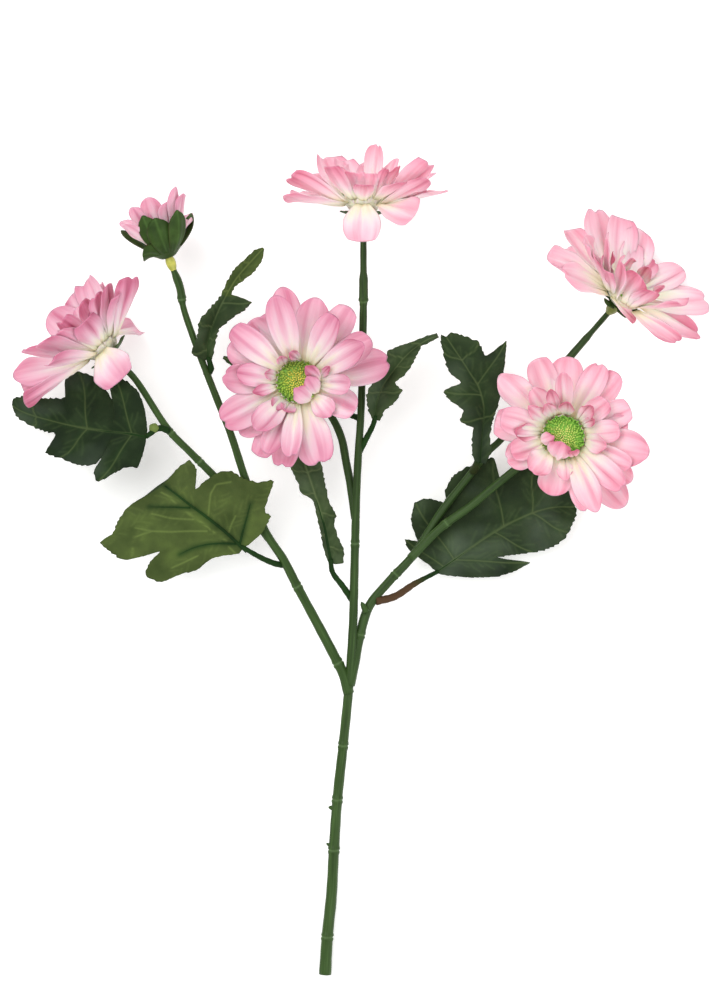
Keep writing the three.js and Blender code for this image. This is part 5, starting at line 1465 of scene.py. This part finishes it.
def stem_look():
    s = Shader("stem_skin", 0.45, Specular_IOR_Level=0.18)
    d, angle, _ = s.split("place")
    seam, tone, _ = s.split("mark")
    streak = s.noise(s.combine(d * 0.05, angle * 2.2, 0.0), 1.0, 3.0)
    grain = s.noise(s.object_place(), 1300.0)
    fresh = s.ramp(streak, (0.25, "2b4219"), (0.55, "3a5426"), (0.8, "4c6a36"))
    dark = s.ramp(streak, (0.25, "1a2b10"), (0.55, "2a3f19"), (0.8, "3a5226"))
    paint = s.mix(seam * 0.35, s.mix(tone, fresh, dark), colour("6d8a58"))
    return s.finish(paint, grain * 0.25 + 0.33, (streak + grain * 0.4, 0.3, 0.0005))


def calyx_look():
    s = Shader("calyx_green", 0.5, Specular_IOR_Level=0.15)
    side = abs(s.split("place")[1])
    mottle = s.noise(s.object_place(), 160.0, 3.0)
    middle = (1.0 - side * 6.0).clamped()
    green = s.ramp(mottle, (0.25, "263a14"), (0.55, "354d1e"), (0.8, "46622c"))
    green = s.mix(middle * 0.3, green, colour("587a3c"))
    rim = side ** 14.0 * side.math("LESS_THAN", 1.01)
    return s.finish(s.mix(rim * 0.5, green, colour("4a3626")), bump=(mottle, 0.3, 0.0004))


def neck_look(name, low, high):
    s = Shader(name, 0.4)
    mottle = s.noise(s.object_place(), 420.0, 3.0)
    return s.finish(s.ramp(mottle, (0.25, low), (0.75, high)), bump=(mottle, 0.25, 0.0004))


def disc_look():
    s = Shader("disc_florets", 0.7)
    share, height, seed = s.split("place")
    green, painted_shade_share, _ = s.split("mark")
    mixed = share + (seed - 0.5) * 0.22
    yellow_tip = s.ramp(mixed, (0.1, "f2e45e"), (0.4, "e4e254"), (0.66, "a8cc46"), (1.0, "6e9a34"))
    green_tip = s.ramp(mixed, (0.1, "eef096"), (0.4, "cde478"), (0.75, "94cc4c"), (1.0, "72b43c"))
    # Each floret darkens towards its foot: painted shade in the gaps between the florets.
    dark = s.ramp(mixed, (0.1, "a89c2c"), (0.6, "667c16"), (1.0, "3c6014"))
    shade = s.mix(height, dark, s.mix(green, yellow_tip, green_tip))
    grain = s.noise(s.object_place(), 1800.0)
    # Painted shade: florets on the shaded side of the disc are mixed towards a dull brownish green.
    return s.finish(s.mix(painted_shade_share * 0.6, shade, colour("6a6422")), bump=(grain, 0.3, 0.0003))


def floor_look():
    # The floor glows faintly: painted light that lifts the shadows cast on it and lights undersides.
    s = Shader("floor_pale_glowing", 0.9, Emission_Color=(1, 1, 1, 1), Emission_Strength=0.3)
    return s.finish(s.ramp(s.noise(s.object_place(), 3.0), (0.2, "f4f4f3"), (0.8, "f7f7f6")))


# ---------------------------------------------------------------- floor, light, camera

CAMERA_HEIGHT = 2500.0
REFERENCE_HEIGHT = 30.0
PICTURE_TALL = 420.0
SENSOR = 36
AIM = (-0.2, 25.8)
FLOOR_HALF = 4.0
FLOOR_DROP = 0.0001


def add_floor(material):
    mesh = bpy.data.meshes.new("floor")
    corners = [(-1, -1), (1, -1), (1, 1), (-1, 1)]
    mesh.from_pydata([(x * FLOOR_HALF, y * FLOOR_HALF, -FLOOR_DROP) for x, y in corners], [], [(0, 1, 2, 3)])
    mesh.materials.append(material)
    floor = linked("floor", mesh)


def add_area(name, place, size, power):
    data = bpy.data.lights.new(name, "AREA")
    data.shape = "DISK"
    data.size = size
    data.energy = power
    light = linked(name, data)
    light.location = place
    light.rotation_euler = (-Vector(place)).to_track_quat("-Z", "Y").to_euler()
    light.visible_camera = False


def add_world(strength):
    world = bpy.data.worlds.new("studio")
    world.use_nodes = True
    background = world.node_tree.nodes["Background"]
    background.inputs["Color"].default_value = (1, 1, 1, 1)
    background.inputs["Strength"].default_value = strength
    bpy.context.scene.world = world


def add_camera():
    data = bpy.data.cameras.new("camera")
    data.sensor_fit = "VERTICAL"
    data.sensor_height = SENSOR
    data.sensor_width = SENSOR
    data.lens = SENSOR * (CAMERA_HEIGHT - REFERENCE_HEIGHT) / PICTURE_TALL
    data.clip_end = 20
    camera = linked("camera", data)
    camera.location = (AIM[0] * MM, AIM[1] * MM, CAMERA_HEIGHT * MM)
    bpy.context.scene.camera = camera


# ---------------------------------------------------------------- the scene

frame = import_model()

LOOKS = {
    "petals": petal_look("petal_rose", ROSE_PINK),
    "mauve": petal_look("petal_mauve", MAUVE_PINK),
    "disc": disc_look(),
    "calyx": calyx_look(),
    "neck": neck_look("neck_olive", "566022", "7b853a"),
    "neck_bright": neck_look("neck_yellow", "94983a", "cbc758"),
    "leaf": leaf_look(),
    "stem": stem_look(),
}
HEADS = {head["name"]: head for head in [BUD, *BLOOMS]}

build_stem(HEADS, LOOKS)
build_bud(LOOKS)
for bloom in BLOOMS:
    build_bloom(bloom, LOOKS)
build_leaves(LOOKS)

add_floor(floor_look())
add_area("key", (-0.8, 0.7, 2.0), 1.8, 27)
add_area("fill", (1.2, -0.9, 1.6), 1.8, 14)
add_world(0.74)
add_camera()
bpy.context.scene.view_settings.view_transform = "Standard"

bpy.context.view_layer.update()
